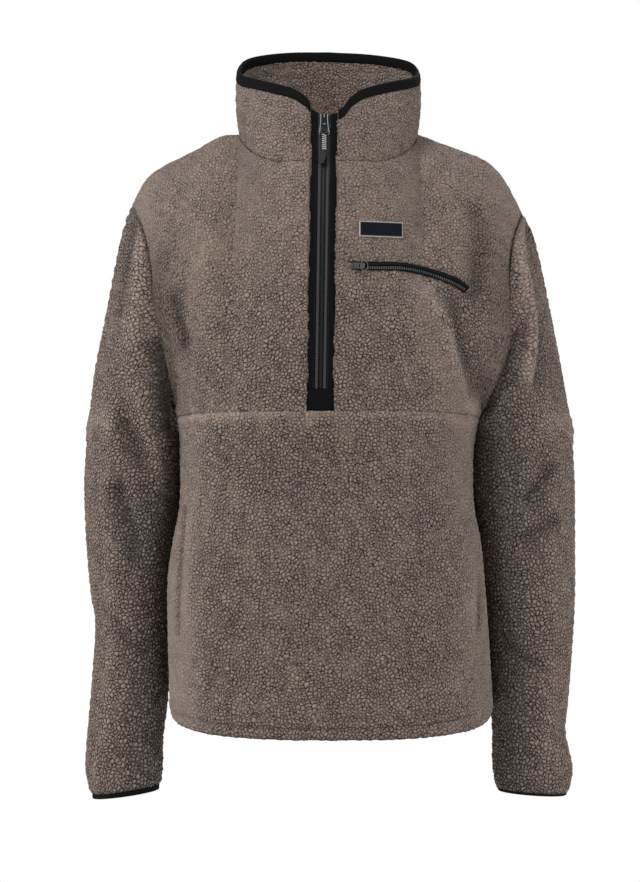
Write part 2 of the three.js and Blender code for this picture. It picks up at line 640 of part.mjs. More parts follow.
function collarPiece() {
  const column = (angle, side, first) => range(COLLAR_STEPS).map(step => {
    const w = step * collarTop(angle);
    return collar(first ? Math.abs(angleAt(side * SLOT, w)) : angle, side, w);
  });
  const right = collarAngles(1).map((angle, index) => column(angle, 1, index === 0));
  const left = collarAngles(-1).map((angle, index) => column(angle, -1, index === 0));
  addFleece('collar', 'collar', [...right, ...left.reverse().slice(1)]);
}

// Sweeps a closed section along stations: sections[k] lists the same number of points, all turning one way.
function sweepGeometry(sections, closed) {
  const sides = sections[0].length;
  const positions = [];
  sections.forEach(section => section.forEach(point => positions.push(point.x, point.y, point.z)));
  const index = [];
  const count = sections.length;
  const at = (k, m) => (k % count) * sides + (m % sides);
  const spans = closed ? count : count - 1;
  for (let k = 0; k < spans; k += 1) {
    for (let m = 0; m < sides; m += 1) {
      index.push(at(k, m), at(k, m + 1), at(k + 1, m + 1));
      index.push(at(k, m), at(k + 1, m + 1), at(k + 1, m));
    }
  }
  if (!closed) {
    for (let m = 1; m < sides - 1; m += 1) {
      index.push(at(0, 0), at(0, m + 1), at(0, m));
      index.push(at(count - 1, 0), at(count - 1, m), at(count - 1, m + 1));
    }
  }
  const geometry = new THREE.BufferGeometry();
  geometry.setAttribute('position', new THREE.Float32BufferAttribute(positions, 3));
  geometry.setIndex(index);
  return geometry;
}

// Binding section: out from the collar's face and up along it, a flat band with a rounded top.
const BINDING_SECTION = [
  { out: -0.4, up: NEAR }, { out: 0.2, up: 5 }, { out: -0.5, up: BINDING - 1 }, { out: -2.2, up: BINDING },
  { out: -3.8, up: BINDING - 1 }, { out: -4.6, up: NEAR },
];

function collarBinding() {
  const station = (angle, side, slot) => {
    const top = collarTop(angle);
    const at = slot ? Math.abs(angleAt(side * (SLOT + BINDING_END), top)) : angle;
    const low = collar(at, side, top);
    const up = collar(at, side, 1).sub(low).normalize();
    const outwards = vec(side * Math.sin(radians(at)), -Math.cos(radians(at)), 0);
    return BINDING_SECTION.map(row => (
      low.clone().addScaledVector(outwards, row.out).addScaledVector(up, row.up)));
  };
  const right = collarAngles(1).map((angle, index) => station(angle, 1, index === 0));
  const left = collarAngles(-1).map((angle, index) => station(angle, -1, index === 0));
  addMesh('collar_binding', sweepGeometry([...right, ...left.reverse().slice(1)], false), COLOURS.trim, 0.7);
}

// Cuff binding: a thin band that goes on from the fleece's edge, set in from its outer face.
function cuffBinding(name, side) {
  const angles = range(2 * ARMHOLE_STEPS).slice(0, -1).map(share => 360 * share);
  const order = side === 'right' ? angles : [...angles].reverse();
  const middle = sleeve(side, 0, 1).add(sleeve(side, 180, 1)).multiplyScalar(0.5);
  const sections = order.map(angle => {
    const edge = sleeve(side, angle, 1);
    const inwards = middle.clone().sub(edge).normalize();
    const down = vec(0, 0, -1);
    const low = CUFF[side];
    const corners = [[CUFF.start, NEAR], [CUFF.end, NEAR], [CUFF.end, low], [CUFF.edge, low]];
    return corners.map(([inset, drop]) => (
      edge.clone().addScaledVector(inwards, inset).addScaledVector(down, drop)));
  });
  addMesh(name, sweepGeometry(sections, true), COLOURS.trim, 0.7);
}

// Strip over the opening: side -1 mirrors its distances from the zip's middle.
function openingStrip(name, { from, to, high, deep }, side, stations, colour) {
  const columns = [from, (from + to) / 2, to].map(d => side * d);
  const grid = leftToRight(columns, side).map(d => stations.map(station => openingPoint(d, station)));
  const normals = gridNormals(grid, false);
  const shift = depth => grid.map((column, i) => column.map((point, j) => (
    point.clone().addScaledVector(normals[i][j], -depth))));
  return addMesh(name, shellGeometry(shift(high), shift(deep), false), colour, 0.8);
}

// Height share v of the patch's upper edge, counted from the chest seam.
function patchShare() {
  let v = 0;
  const low = openingPoint(0, { v: 0 }).z;
  while (openingPoint(0, { v }).z < low + PATCH) v += 0.002;
  return v;
}

function halfZip() {
  const top = patchShare();
  const gapShare = 0.0016;
  const patch = range(2).map(f => ({ v: lerp(gapShare, top, f) }));
  const front = range(ZIP_STEPS).slice(0, -1).map(f => ({ v: lerp(top + gapShare, 1, f) }));
  const neck = range(3).slice(1).map(f => ({ w: STRIP_TOP * f }));
  const stations = [...front, ...neck];
  openingStrip('placket_end', STRIPS.patch, 1, patch, COLOURS.trim);
  for (const [name, side] of [['right', 1], ['left', -1]]) {
    openingStrip(`placket_strip_${name}`, STRIPS.placket, side, stations, COLOURS.trim);
    openingStrip(`zip_tape_${name}`, STRIPS.tape, side, stations, COLOURS.tape);
  }
  openingStrip('zip_chain', STRIPS.chain, 1, stations, COLOURS.trim);
}

// Joins closed geometries into one solid.
function unite(geometries) {
  const solids = geometries.map(geometry => {
    geometry.deleteAttribute('normal');
    geometry.deleteAttribute('uv');
    const merged = mergeVertices(geometry, 1e-4);
    return new wasm.Manifold(new wasm.Mesh({
      numProp: 3,
      vertProperties: new Float32Array(merged.attributes.position.array),
      triVerts: new Uint32Array(merged.index.array),
    }));
  });
  const mesh = solids.reduce((sum, solid) => sum.add(solid)).getMesh();
  const geometry = new THREE.BufferGeometry();
  geometry.setAttribute('position', new THREE.BufferAttribute(new Float32Array(mesh.vertProperties), 3));
  geometry.setIndex(new THREE.BufferAttribute(new Uint32Array(mesh.triVerts), 1));
  return geometry;
}

const SUNK = 0.4;            // how deep a slider's bridge is let into its plate
const PLATE_BEVEL = 0.5;

// How far in front of the plate's back the middle of the bridge's eye lies.
const eyeOut = ({ thick, bridge }) => thick + (bridge.tall - SUNK - bridge.leg) / 2;

// Slider in its own frame: zip along z, front towards -y, the back of its plate at y = 0.
function sliderGeometry({ long, topWide, wide, thick, shoulder, chamfer, bridge }) {
  const plate = new THREE.Shape();
  plate.moveTo(-topWide / 2, long / 2);
  plate.lineTo(-wide / 2, -long / 2 + shoulder);
  plate.lineTo(-wide / 2 + chamfer, -long / 2);
  plate.lineTo(wide / 2 - chamfer, -long / 2);
  plate.lineTo(wide / 2, -long / 2 + shoulder);
  plate.lineTo(topWide / 2, long / 2);
  const plateSolid = new THREE.ExtrudeGeometry(plate, {
    depth: thick - 2 * PLATE_BEVEL,
    bevelSize: PLATE_BEVEL,
    bevelThickness: PLATE_BEVEL,
    bevelOffset: -PLATE_BEVEL,
    bevelSegments: 1,
  });
  plateSolid.rotateX(Math.PI / 2);
  plateSolid.translate(0, -PLATE_BEVEL, 0);
  const arch = new THREE.Shape();
  const half = bridge.long / 2;
  arch.moveTo(-half, 0);
  arch.lineTo(half, 0);
  arch.lineTo(half - bridge.lean, bridge.tall - bridge.leg);
  arch.lineTo(half - bridge.lean - bridge.leg, bridge.tall);
  arch.lineTo(-half + bridge.lean + bridge.leg, bridge.tall);
  arch.lineTo(-half + bridge.lean, bridge.tall - bridge.leg);
  const hole = new THREE.Path();
  const eye = half - bridge.leg;
  hole.moveTo(-eye, SUNK);
  hole.lineTo(-eye, bridge.tall - bridge.leg);
  hole.lineTo(eye, bridge.tall - bridge.leg);
  hole.lineTo(eye, SUNK);
  arch.holes.push(hole);
  const archSolid = new THREE.ExtrudeGeometry(arch, { depth: bridge.wide, bevelEnabled: false });
  archSolid.translate(0, 0, -bridge.wide / 2);
  archSolid.rotateY(Math.PI / 2);
  archSolid.rotateZ(Math.PI);
  archSolid.translate(0, SUNK - thick, bridge.at);
  return unite([plateSolid, archSolid]);
}

// Main slider: the tapered body grips the teeth at the top of the closed zip, below the rim.
const SLIDER = {
  long: 24, topWide: 8.4, wide: 11.6, thick: 2.6, shoulder: 3, chamfer: 0.8,
  bridge: { long: 9, tall: 4.6, leg: 1.2, lean: 0.4, wide: 3, at: -4 },
};
const SLIDER_AT = 0.72;      // share of the collar's height at the slider's middle
const RING = { radius: 3.4, wire: 0.65 };
const LINK = { long: 18, wide: 4.8, thick: 2, ribs: 7, neck: 0.6 };
const TAB = { long: 14, wide: 6.4, endWide: 7, thick: 2.6, corner: 1.4, bevel: 0.4, gap: 0.6, lean: 17 };

function pullPieces(pull) {
  const ring = new THREE.TorusGeometry(RING.radius, RING.wire, 6, 20);
  ring.rotateX(Math.PI / 2);
  ring.translate(0, 0, -RING.radius);
  const ringMesh = addMesh('pull_ring', ring, COLOURS.steel, 0.25, 1);
  const low = -2 * RING.radius - RING.wire - NEAR;
  // Each rib's edge goes straight down for most of its pitch and then notches in.
  const edge = range(LINK.ribs).slice(0, -1).flatMap(rib => [
    new THREE.Vector2(LINK.wide / 2, low - LINK.long * rib),
    new THREE.Vector2(LINK.wide / 2, low - LINK.long * (rib + 0.7 / LINK.ribs)),
    new THREE.Vector2(LINK.wide / 2 - LINK.neck, low - LINK.long * (rib + 0.85 / LINK.ribs)),
  ]);
  const mirrored = edge.map(corner => new THREE.Vector2(-corner.x, corner.y)).reverse();
  const link = new THREE.Shape([...edge, ...mirrored]);
  const linkGeometry = new THREE.ExtrudeGeometry(link, { depth: LINK.thick, bevelEnabled: false });
  linkGeometry.rotateX(Math.PI / 2);
  linkGeometry.translate(0, LINK.thick / 2, 0);
  const linkMesh = addMesh('pull_link', linkGeometry, COLOURS.steel, 0.35, 1);
  const tab = new THREE.Shape();
  tab.moveTo(-TAB.wide / 2 + TAB.corner, 0);
  tab.lineTo(TAB.wide / 2 - TAB.corner, 0);
  tab.lineTo(TAB.wide / 2, -TAB.corner);
  tab.lineTo(TAB.endWide / 2, -TAB.long + TAB.corner);
  tab.lineTo(TAB.endWide / 2 - TAB.corner, -TAB.long);
  tab.lineTo(-TAB.endWide / 2 + TAB.corner, -TAB.long);
  tab.lineTo(-TAB.endWide / 2, -TAB.long + TAB.corner);
  tab.lineTo(-TAB.wide / 2, -TAB.corner);
  const tabGeometry = new THREE.ExtrudeGeometry(tab, {
    depth: TAB.thick - 2 * TAB.bevel,
    bevelSize: TAB.bevel,
    bevelThickness: TAB.bevel,
    bevelOffset: -TAB.bevel,
    bevelSegments: 1,
  });
  tabGeometry.rotateX(Math.PI / 2);
  tabGeometry.translate(0, TAB.thick / 2 - TAB.bevel, 0);
  const tabMesh = addMesh('pull_tab', tabGeometry, COLOURS.trim, 0.6);
  tabMesh.rotation.y = radians(TAB.lean);
  tabMesh.position.set(0, 0, low - LINK.long - TAB.gap);
  pull.add(ringMesh, linkMesh, tabMesh);
}

function mainSlider() {
  const low = openingPoint(0, { w: SLIDER_AT - 0.25 });
  const high = openingPoint(0, { w: SLIDER_AT + 0.25 });
  const lean = Math.atan2(high.y - low.y, high.z - low.z);
  const slider = new THREE.Group();
  slider.position.copy(openingPoint(0, { w: SLIDER_AT })).add(vec(0, STRIPS.chain.high - NEAR, 0));
  slider.rotation.x = -lean;
  slider.add(addMesh('zip_slider', sliderGeometry(SLIDER), COLOURS.metal, 0.25, 1));
  const hinge = vec(0, -eyeOut(SLIDER), SLIDER.bridge.at).applyEuler(slider.rotation).add(slider.position);
  const pull = new THREE.Group();
  pull.position.copy(hinge);
  pull.rotation.x = -radians(PULL_LEAN);
  pullPieces(pull);
  garment.add(slider, pull);
}

// Chest pocket: middle line of its curved zip, as x and z on the right upper front.
const POCKET_PATH = [
  { x: 22, z: -133 }, { x: 48, z: -133.5 }, { x: 76, z: -133.5 }, { x: 98, z: -137 },
  { x: 119, z: -142.5 }, { x: 136, z: -149 }, { x: 149, z: -157 },
];
const POCKET_STEPS = 18;

// Bands along that line: how far they reach below and above it, their lifts over the fleece, and their ends.
const POCKET_TAPE = { below: 4.5, above: 4.5, low: 0.85, high: 2, from: 0.02, to: 1 };
const POCKET_CHAIN = { below: 4, above: 1.4, low: 2.5, high: 3.9, from: 0.12, to: 0.985 };
const POCKET_SLIDER = {
  x: 31, z: -133.5, lift: 2.6,
  long: 15, topWide: 6.2, wide: 7.4, thick: 2, shoulder: 3, chamfer: 0.8,
  bridge: { long: 7, tall: 3.4, leg: 1, lean: 0.4, wide: 2.4, at: -2 },
};
const POCKET_RING = { radius: 5.2, wire: 0.5, narrowed: 0.77 };
const LABEL = { x: 56, z: -94, wide: 47, tall: 17, tilt: 1, low: 0.7, high: 1.9 };
const YOKE_SPAN = { s: 260, v: 330 };    // about how far x and z run for one unit of s and v

// Front panel's point nearest above a place given by x and z, found by alternating steps in s and v.
function frontAt(x, z) {
  let s = 0.3;
  let v = 0.6;
  for (let step = 0; step < 40; step += 1) {
    const point = upperBody('front', s, v);
    s += (x - point.x) / YOKE_SPAN.s;
    v += (z - point.z) / YOKE_SPAN.v;
  }
  const e = 0.02;
  const point = upperBody('front', s, v);
  const across = upperBody('front', s + e, v).sub(upperBody('front', s - e, v));
  const up = upperBody('front', s, v + e).sub(upperBody('front', s, v - e));
  return { point, normal: across.cross(up).normalize() };
}

// Point above the right upper front's own facets.
function raised(x, z, lift) {
  const panel = garment.getObjectByName('front_yoke_right');
  const ray = new THREE.Raycaster(vec(x, -300, z), vec(0, 1, 0));
  const [hit] = ray.intersectObject(panel);
  return hit.point.clone().addScaledVector(frontAt(x, z).normal, lift);
}

function pocketBand(name, { below, above, low, high, from, to }, colour) {
  const line = POCKET_PATH.map(row => vec(row.x, 0, row.z));
  const stations = range(POCKET_STEPS).map(step => lerp(from, to, step));
  const sections = stations.map(share => {
    const middle = alongPoints(line, share);
    const ahead = alongPoints(line, share + 0.02).sub(alongPoints(line, share - 0.02)).normalize();
    const place = (offset, lift) => raised(middle.x - ahead.z * offset, middle.z + ahead.x * offset, lift);
    return [place(-below, low), place(above, low), place(above, high), place(-below, high)];
  });
  return addMesh(name, sweepGeometry(sections, false), colour, 0.7);
}

function chestPocket() {
  pocketBand('pocket_tape', POCKET_TAPE, COLOURS.trim);
  pocketBand('pocket_chain', POCKET_CHAIN, COLOURS.metal);
  const place = raised(POCKET_SLIDER.x, POCKET_SLIDER.z, POCKET_SLIDER.lift);
  const { normal } = frontAt(POCKET_SLIDER.x, POCKET_SLIDER.z);
  const yaw = Math.atan2(normal.x, -normal.y);
  const slider = new THREE.Group();
  slider.position.copy(place);
  slider.rotation.z = yaw;
  const geometry = sliderGeometry(POCKET_SLIDER);
  geometry.rotateY(Math.PI / 2);
  slider.add(addMesh('pocket_slider', geometry, COLOURS.metal, 0.25, 1));
  const eye = vec(-POCKET_SLIDER.bridge.at, -eyeOut(POCKET_SLIDER), 0);
  const hinge = eye.applyEuler(slider.rotation).add(place);
  const ring = new THREE.TorusGeometry(POCKET_RING.radius, POCKET_RING.wire, 6, 18);
  ring.rotateX(Math.PI / 2);
  ring.translate(POCKET_RING.radius, 0, 0);
  ring.scale(POCKET_RING.narrowed, 1, 1);
  ring.rotateZ(yaw);
  ring.translate(...hinge.toArray());
  addMesh('pocket_ring', ring, COLOURS.steel, 0.25, 1);
  garment.add(slider);
}

function labelPatch() {
  const columns = range(6).map(f => range(2).map(g => ({
    x: LABEL.x + LABEL.wide * (f - 0.5),
    z: LABEL.z + LABEL.tall * (g - 0.5) + LABEL.tilt * (0.5 - f),
  })));
  const layer = lift => columns.map(column => column.map(({ x, z }) => raised(x, z, lift)));
  addMesh('label_patch', shellGeometry(layer(LABEL.high), layer(LABEL.low), false), COLOURS.trim, 0.85);
}

frontYoke('front_yoke_right', 1);
frontYoke('front_yoke_left', -1);
frontLower();
backPanel();
sleevePiece('sleeve_right', 'right');
sleevePiece('sleeve_left', 'left');
collarPiece();
buildFleece();
collarBinding();
cuffBinding('cuff_binding_right', 'right');
cuffBinding('cuff_binding_left', 'left');
halfZip();
mainSlider();
chestPocket();
labelPatch();

export default garment;
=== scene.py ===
import math

import bpy
import numpy as np
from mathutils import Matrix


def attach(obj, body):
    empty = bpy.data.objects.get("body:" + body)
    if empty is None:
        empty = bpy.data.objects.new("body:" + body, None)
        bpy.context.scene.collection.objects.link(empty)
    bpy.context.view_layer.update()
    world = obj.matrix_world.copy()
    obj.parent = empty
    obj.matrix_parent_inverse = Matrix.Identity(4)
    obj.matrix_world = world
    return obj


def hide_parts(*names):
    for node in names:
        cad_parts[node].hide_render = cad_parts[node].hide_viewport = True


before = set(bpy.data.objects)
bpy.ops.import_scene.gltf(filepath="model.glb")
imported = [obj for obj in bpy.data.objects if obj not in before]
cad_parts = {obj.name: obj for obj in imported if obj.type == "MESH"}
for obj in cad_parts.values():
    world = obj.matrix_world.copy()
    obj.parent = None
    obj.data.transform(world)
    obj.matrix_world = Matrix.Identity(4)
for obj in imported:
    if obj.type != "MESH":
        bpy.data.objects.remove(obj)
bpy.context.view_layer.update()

mm = 0.001
print("frame loaded")

# Sherpa fleece pullover. Lengths are in millimetres until a mesh is written, +Z up, front towards -Y.
# "right" is +X and "left" is -X, as the front is seen.

# The garment's own form, as in the frame

cloth = {
    "wall": 5,              # fleece with its pile
    "seamGap": 0.19,        # from a panel's edge to its seam
    "seamY": 8,             # side seams lie a little behind the middle
    "roundness": 2.4,       # 2 is an ellipse, more is boxier
    "hemZ": -612,
    "underarmZ": -297,
    "hemStitch": 19,        # from the hem's edge to its stitching
    "grooveDeep": 1.8,      # groove over that stitching
    "grooveWide": 3.5,
    "innerStep": 4,         # the hidden side of a panel has one cell for four by four in front
}
# z, then half widths left and right, then depths front and back
girth = np.array([
    (-612, 174.5, 181.5, 122, 109), (-580, 175, 179.5, 121, 108), (-530, 176.5, 176.5, 118, 105),
    (-470, 176.5, 172, 115, 101), (-430, 171, 168, 113, 98), (-390, 163.5, 160.5, 113, 97),
    (-340, 163, 159.5, 117, 100), (-297, 164, 164, 121, 104)], float)
dip = {"front": (-27, 9), "back": (-16, 4)}     # middle of a panel against its sides: hem, chest
# armhole seams from the underarm to the shoulder point
armhole = {
    ("right", "front"): [(164, 8, -297), (171, -30, -281), (186, -54, -247), (196, -64, -210),
                         (196, -65, -172), (197, -59, -136), (201, -42, -106), (208, -20, -86),
                         (215, 8, -70)],
    ("right", "back"): [(164, 8, -297), (172, 40, -281), (186, 62, -247), (195, 74, -208),
                        (196, 77, -170), (197, 72, -134), (202, 56, -105), (208, 33, -85),
                        (215, 8, -70)],
    ("left", "front"): [(-164, 8, -297), (-166, -30, -277), (-171, -54, -240), (-181, -64, -204),
                        (-189, -66, -170), (-192, -60, -137), (-199, -42, -103), (-208, -20, -78),
                        (-217, 8, -60)],
    ("left", "back"): [(-164, 8, -297), (-170, 40, -280), (-184, 62, -246), (-194, 74, -207),
                       (-196, 77, -168), (-197, 72, -132), (-202, 56, -99), (-209, 33, -77),
                       (-217, 8, -60)],
}
# shoulder seams: share of the seam from the neck, then x, y, z
shoulder = {
    "right": np.array([(0, 98.2, -8, 17), (0.17, 119, -4, 9.5), (0.42, 147.5, 0, -0.5),
                       (0.68, 174.5, 4, -11.5), (0.78, 186, 6, -21.5), (0.87, 196.5, 7, -35),
                       (1, 215, 8, -70)], float),
    "left": np.array([(0, -97.8, -8, 17), (0.17, -119, -4, 14.5), (0.42, -147.5, 0, -0.5),
                      (0.68, -176.5, 4, -14), (0.78, -190, 6, -22), (0.87, -202, 7, -33),
                      (1, -217, 8, -60)], float),
}
rise = {"middle": 100, "side": 88, "swell": 4}      # how a panel leaves the chest: up, and a little out
turn = {        # how it comes in to the neck and the shoulders: reach, with shares of it inwards and down
    "reach": 80, "front": 0.38, "back": 0.5, "drop": 0.9,
    "sideReach": 88, "sideEnd": 62, "lean": 0.99, "sideDrop": 0.12,
}
neck = {
    "x": 0.2,               # middle of the neck
    "share": 0.42,          # share of a panel's upper edge that lies on the neck
    "tilt": -0.025,         # rise of the rim towards the right, behind
    "binding": 10,          # height of the rim's binding
    "belly": 2.5,           # how far the collar swells outwards
    "wide": {"seam": 98, "rim": 100}, "middle": {"seam": -8, "rim": -9}, "reach": {"seam": 80, "rim": 71},
}
# angle round the neck from the front middle, then heights of the seam and the rim
neckHeights = np.array([
    (0, -19, 34), (9, -19, 39), (14, -19, 50), (22, -19, 59), (34, -19, 65), (50, -12, 71), (72, 4, 78),
    (90, 17, 86), (110, 25, 99), (130, 30, 107), (155, 33, 113), (180, 34, 115)], float)
# sleeve rings: outer x and z, inner x and z, middle y, half depth, lift, bow, share of the armhole's outline
sleeveTable = {
    "right": [(228.5, -100, 165.6, -300, 8, 71, 20, 10, 1), (245.5, -176, 163.6, -309, 16, 71, 12, 8, 0.5),
              (259.5, -245, 160.7, -322, 27, 69, 4, 4, 0.15), (269.5, -305, 157.8, -345, 38, 66, 0, 0, 0),
              (274.5, -363, 159, -381, 47, 63, 0, 0, 0), (275.5, -429, 166, -436, 53, 59, 0, 0, 0),
              (275.5, -495, 172.5, -497, 54, 55, 0, 0, 0), (272.5, -552, 176, -552, 54, 51, 0, 0, 0),
              (267.5, -612, 181, -610, 51, 47, 0, 0, 0), (264.5, -644, 183, -642, 47, 44, 0, 0, 0),
              (272, -683, 183, -680, 42, 42, 0, 0, 0), (267.5, -711, 186.5, -705.5, 40, 38, 0, 0, 0)],
    "left": [(-229, -98, -165.4, -300, 8, 71, 20, 10, 1), (-245, -176, -164.3, -309, 16, 71, 12, 8, 0.5),
             (-259, -245, -162.8, -322, 27, 69, 4, 4, 0.15), (-266, -305, -161.3, -345, 38, 66, 0, 0, 0),
             (-271.5, -363, -163, -381, 47, 63, 0, 0, 0), (-270, -429, -170, -436, 54, 59, 0, 0, 0),
             (-265, -490, -175, -494, 57, 55, 0, 0, 0), (-260, -526, -175.5, -530, 57, 52, 0, 0, 0),
             (-264.5, -600, -178.5, -604, 52, 48, 0, 0, 0), (-268.5, -650, -183.5, -648, 46, 44, 0, 0, 0),
             (-270, -684, -184, -678, 42, 42, 0, 0, 0), (-264.5, -712, -185.5, -701, 40, 38, 0, 0, 0)],
}
# soft ridges (+) and troughs (-): piece, face, three points as x and z, width, height
folds = [
    ("body", "front", [(100, -165), (116, -212), (134, -278)], 20, 6),
    ("body", "front", [(128, -165), (138, -212), (152, -264)], 18, -7),
    ("body", "front", [(158, -72), (162, -115), (158, -160)], 15, -6),
    ("body", "front", [(-160, -165), (-155, -190), (-150, -212)], 12, -5),
    ("body", "front", [(-130, -110), (-138, -150), (-142, -200)], 18, 4),
    ("body", "front", [(-110, -330), (-60, -350), (0, -345)], 26, -3),
    ("body", "front", [(110, -420), (95, -500), (100, -570)], 26, -3.5),
    ("body", "front", [(-115, -450), (-105, -520), (-112, -580)], 24, -3),
    ("body", "back", [(-130, -140), (-118, -210), (-100, -280)], 20, -6),
    ("body", "back", [(128, -150), (112, -220), (98, -300)], 20, -6),
    ("body", "back", [(-90, -360), (0, -385), (95, -365)], 28, -5),
    ("body", "back", [(-60, -480), (-50, -540), (-66, -600)], 24, -4),
    ("sleeve", "front", [(-214, -78), (-216, -115), (-219, -140)], 12, -4),
    ("sleeve", "front", [(207, -84), (213, -125), (222, -170)], 11, 4),
    ("sleeve", "front", [(222, -170), (224, -204), (218, -258)], 11, 6),
    ("sleeve", "front", [(-222, -292), (-216, -310), (-212, -322)], 15, -6),
    ("sleeve", "front", [(-228, -378), (-222, -396), (-218, -414)], 14, -6),
    ("sleeve", "front", [(238, -352), (228, -370), (218, -386)], 12, -7),
    ("sleeve", "front", [(244, -410), (228, -420), (214, -427)], 12, -4),
    ("sleeve", "back", [(250, -368), (225, -384), (198, -392)], 15, -7),
    ("sleeve", "back", [(-250, -352), (-226, -372), (-198, -384)], 15, -7),
]
zipLine = {
    "middle": -4.8, "slope": 0.0142,    # x of its middle is middle + slope * z
    "slot": 14.5,           # half width of the opening in the fleece
    "patch": 23,            # height of the patch that closes it below
    "top": 0.94,            # share of the collar at which the zip ends
    "read": 0.85,           # share of it at which the opening's upper end is measured
}


def lerp(a, b, f):
    # a at f = 0, b at f = 1
    return a + (b - a) * f


def smooth(low, high, value):
    # 3f^2 - 2f^3 between low and high
    f = np.clip((value - low) / (high - low), 0, 1)
    return f * f * (3 - 2 * f)


def vec(x, y, z):
    # points from three arrays of coordinates
    return np.stack(np.broadcast_arrays(x, y, z), axis=-1).astype(float)


def pick(mask, a, b):
    # a point of a where the mask is true, and otherwise of b
    return np.where(np.asarray(mask)[..., None], a, b)


def unit(v):
    # each vector over its own length
    return v / np.linalg.norm(v, axis=-1, keepdims=True)


def runLength(line):
    # sum of the steps along a line of points, from 0
    return np.append(0, np.cumsum(np.linalg.norm(np.diff(line, axis=0), axis=-1)))


def along(keys, values, at):
    # cubic Hermite pieces through (keys, values), with slopes taken from the neighbouring rows
    keys = np.asarray(keys, float)
    values = np.asarray(values, float)
    at = np.asarray(at, float)
    table = values.reshape(len(keys), -1)
    rows = np.arange(len(keys))
    before = np.maximum(rows - 1, 0)
    after = np.minimum(rows + 1, rows[-1])
    slope = (table[after] - table[before]) / (keys[after] - keys[before])[:, None]
    flat = at.ravel()
    k = np.searchsorted(keys[1:-1], flat)
    span = (keys[k + 1] - keys[k])[:, None]
    f = (flat - keys[k])[:, None] / span
    g = f - 1
    found = (1 + 2 * f) * g * g * table[k] + f * g * g * span * slope[k]
    found += f * f * (3 - 2 * f) * table[k + 1] + f * f * g * span * slope[k + 1]
    return found.reshape(at.shape + values.shape[1:])


def alongPoints(points, share):
    # the same curve through equally spaced points, share 0 to 1
    points = np.asarray(points, float)
    return along(np.arange(len(points)), points, np.clip(share, 0, 1) * (len(points) - 1))


def pathDistance(path, x, z):
    # distance in x and z to the nearest stretch of a bent line
    nearest = np.full(np.broadcast(x, z).shape, np.inf)
    for (ax, az), (bx, bz) in zip(path[:-1], path[1:]):
        f = np.clip(((x - ax) * (bx - ax) + (z - az) * (bz - az)) / ((bx - ax) ** 2 + (bz - az) ** 2), 0, 1)
        nearest = np.minimum(nearest, np.hypot(x - lerp(ax, bx, f), z - lerp(az, bz, f)))
    return nearest


def foldHeight(rows, piece, face, points):
    # sum of height * exp(-(distance / width)^2) over the folds of one face
    height = np.zeros(points.shape[:-1])
    for on, side, path, width, deep in rows:
        if on == piece and side == face:
            height += deep * np.exp(-(pathDistance(path, points[..., 0], points[..., 2]) / width) ** 2)
    return height


def lowerBody(face, s, t):
    # superellipse sections; s -1 to 1 from the left side seam to the right one, t 0 to 1 from hem to chest
    sign = -1 if face == "front" else 1
    edgeZ = lerp(cloth["hemZ"], cloth["underarmZ"], t)
    table = along(girth[:, 0], girth[:, 1:], edgeZ)
    wide = np.where(s < 0, table[..., 0], table[..., 1])
    deep = table[..., 2 if face == "front" else 3]
    angle = s * math.pi / 2
    power = cloth["roundness"]
    rounding = (np.abs(np.sin(angle)) ** power + np.abs(np.cos(angle)) ** power) ** (-1 / power)
    hem, chest = dip[face]
    stitch = (t * (cloth["underarmZ"] - cloth["hemZ"]) - cloth["hemStitch"]) / cloth["grooveWide"]
    groove = -cloth["grooveDeep"] * np.exp(-stitch ** 2)
    points = vec(wide * np.sin(angle) * rounding,
                 cloth["seamY"] + sign * (deep + groove) * np.cos(angle) * rounding,
                 edgeZ + lerp(hem, chest, t) * (1 - np.abs(s) ** 2.7))
    points[..., 1] += sign * foldHeight(folds, "body", face, points) * (1 - s ** 8)
    return points


def neckRing(height, angle, side):
    # ellipse in x and y at an angle round the neck, with its height from the table
    across = side * neck["wide"][height] * np.sin(np.radians(angle))
    cos = np.cos(np.radians(angle))
    z = along(neckHeights[:, 0], neckHeights[:, 1 if height == "seam" else 2], angle)
    if height == "rim":
        z = z + neck["tilt"] * across * (1 - cos) / 2
    return vec(neck["x"] + across, neck["middle"][height] - neck["reach"][height] * cos, z)


def topEdge(face, s):
    # the neck seam, then the shoulder seam
    size = np.abs(s)
    quarter = 90 * np.minimum(size, neck["share"]) / neck["share"]
    onNeck = neckRing("seam", quarter if face == "front" else 180 - quarter, np.where(s < 0, -1, 1))
    share = np.clip((size - neck["share"]) / (1 - neck["share"]), 0, 1)
    left, right = (along(shoulder[name][:, 0], shoulder[name][:, 1:], share) for name in ("left", "right"))
    return pick(size <= neck["share"], onNeck, pick(s < 0, left, right))


def plainColumn(face, s, v):
    # cubic Bezier columns from the chest to the upper edge
    sign = -1 if face == "front" else 1
    size = np.abs(s)
    low = lowerBody(face, s, np.ones_like(s))
    top = topEdge(face, s)
    toShoulder = smooth(0.06, 0.64, size)
    sideReach = lerp(turn["sideReach"], turn["sideEnd"], smooth(neck["share"], 1, size))
    reach = lerp(turn["reach"], sideReach, toShoulder)
    back = lerp(turn[face], turn["lean"], toShoulder) * reach
    down = lerp(turn["drop"], turn["sideDrop"], toShoulder) * reach
    belly = low + vec(0, sign * rise["swell"], lerp(rise["middle"], rise["side"], size))
    crown = top + vec(0, sign * back, -down)
    v = v[..., None]
    g = 1 - v
    return low * g ** 3 + belly * 3 * g * g * v + crown * 3 * g * v * v + top * v ** 3


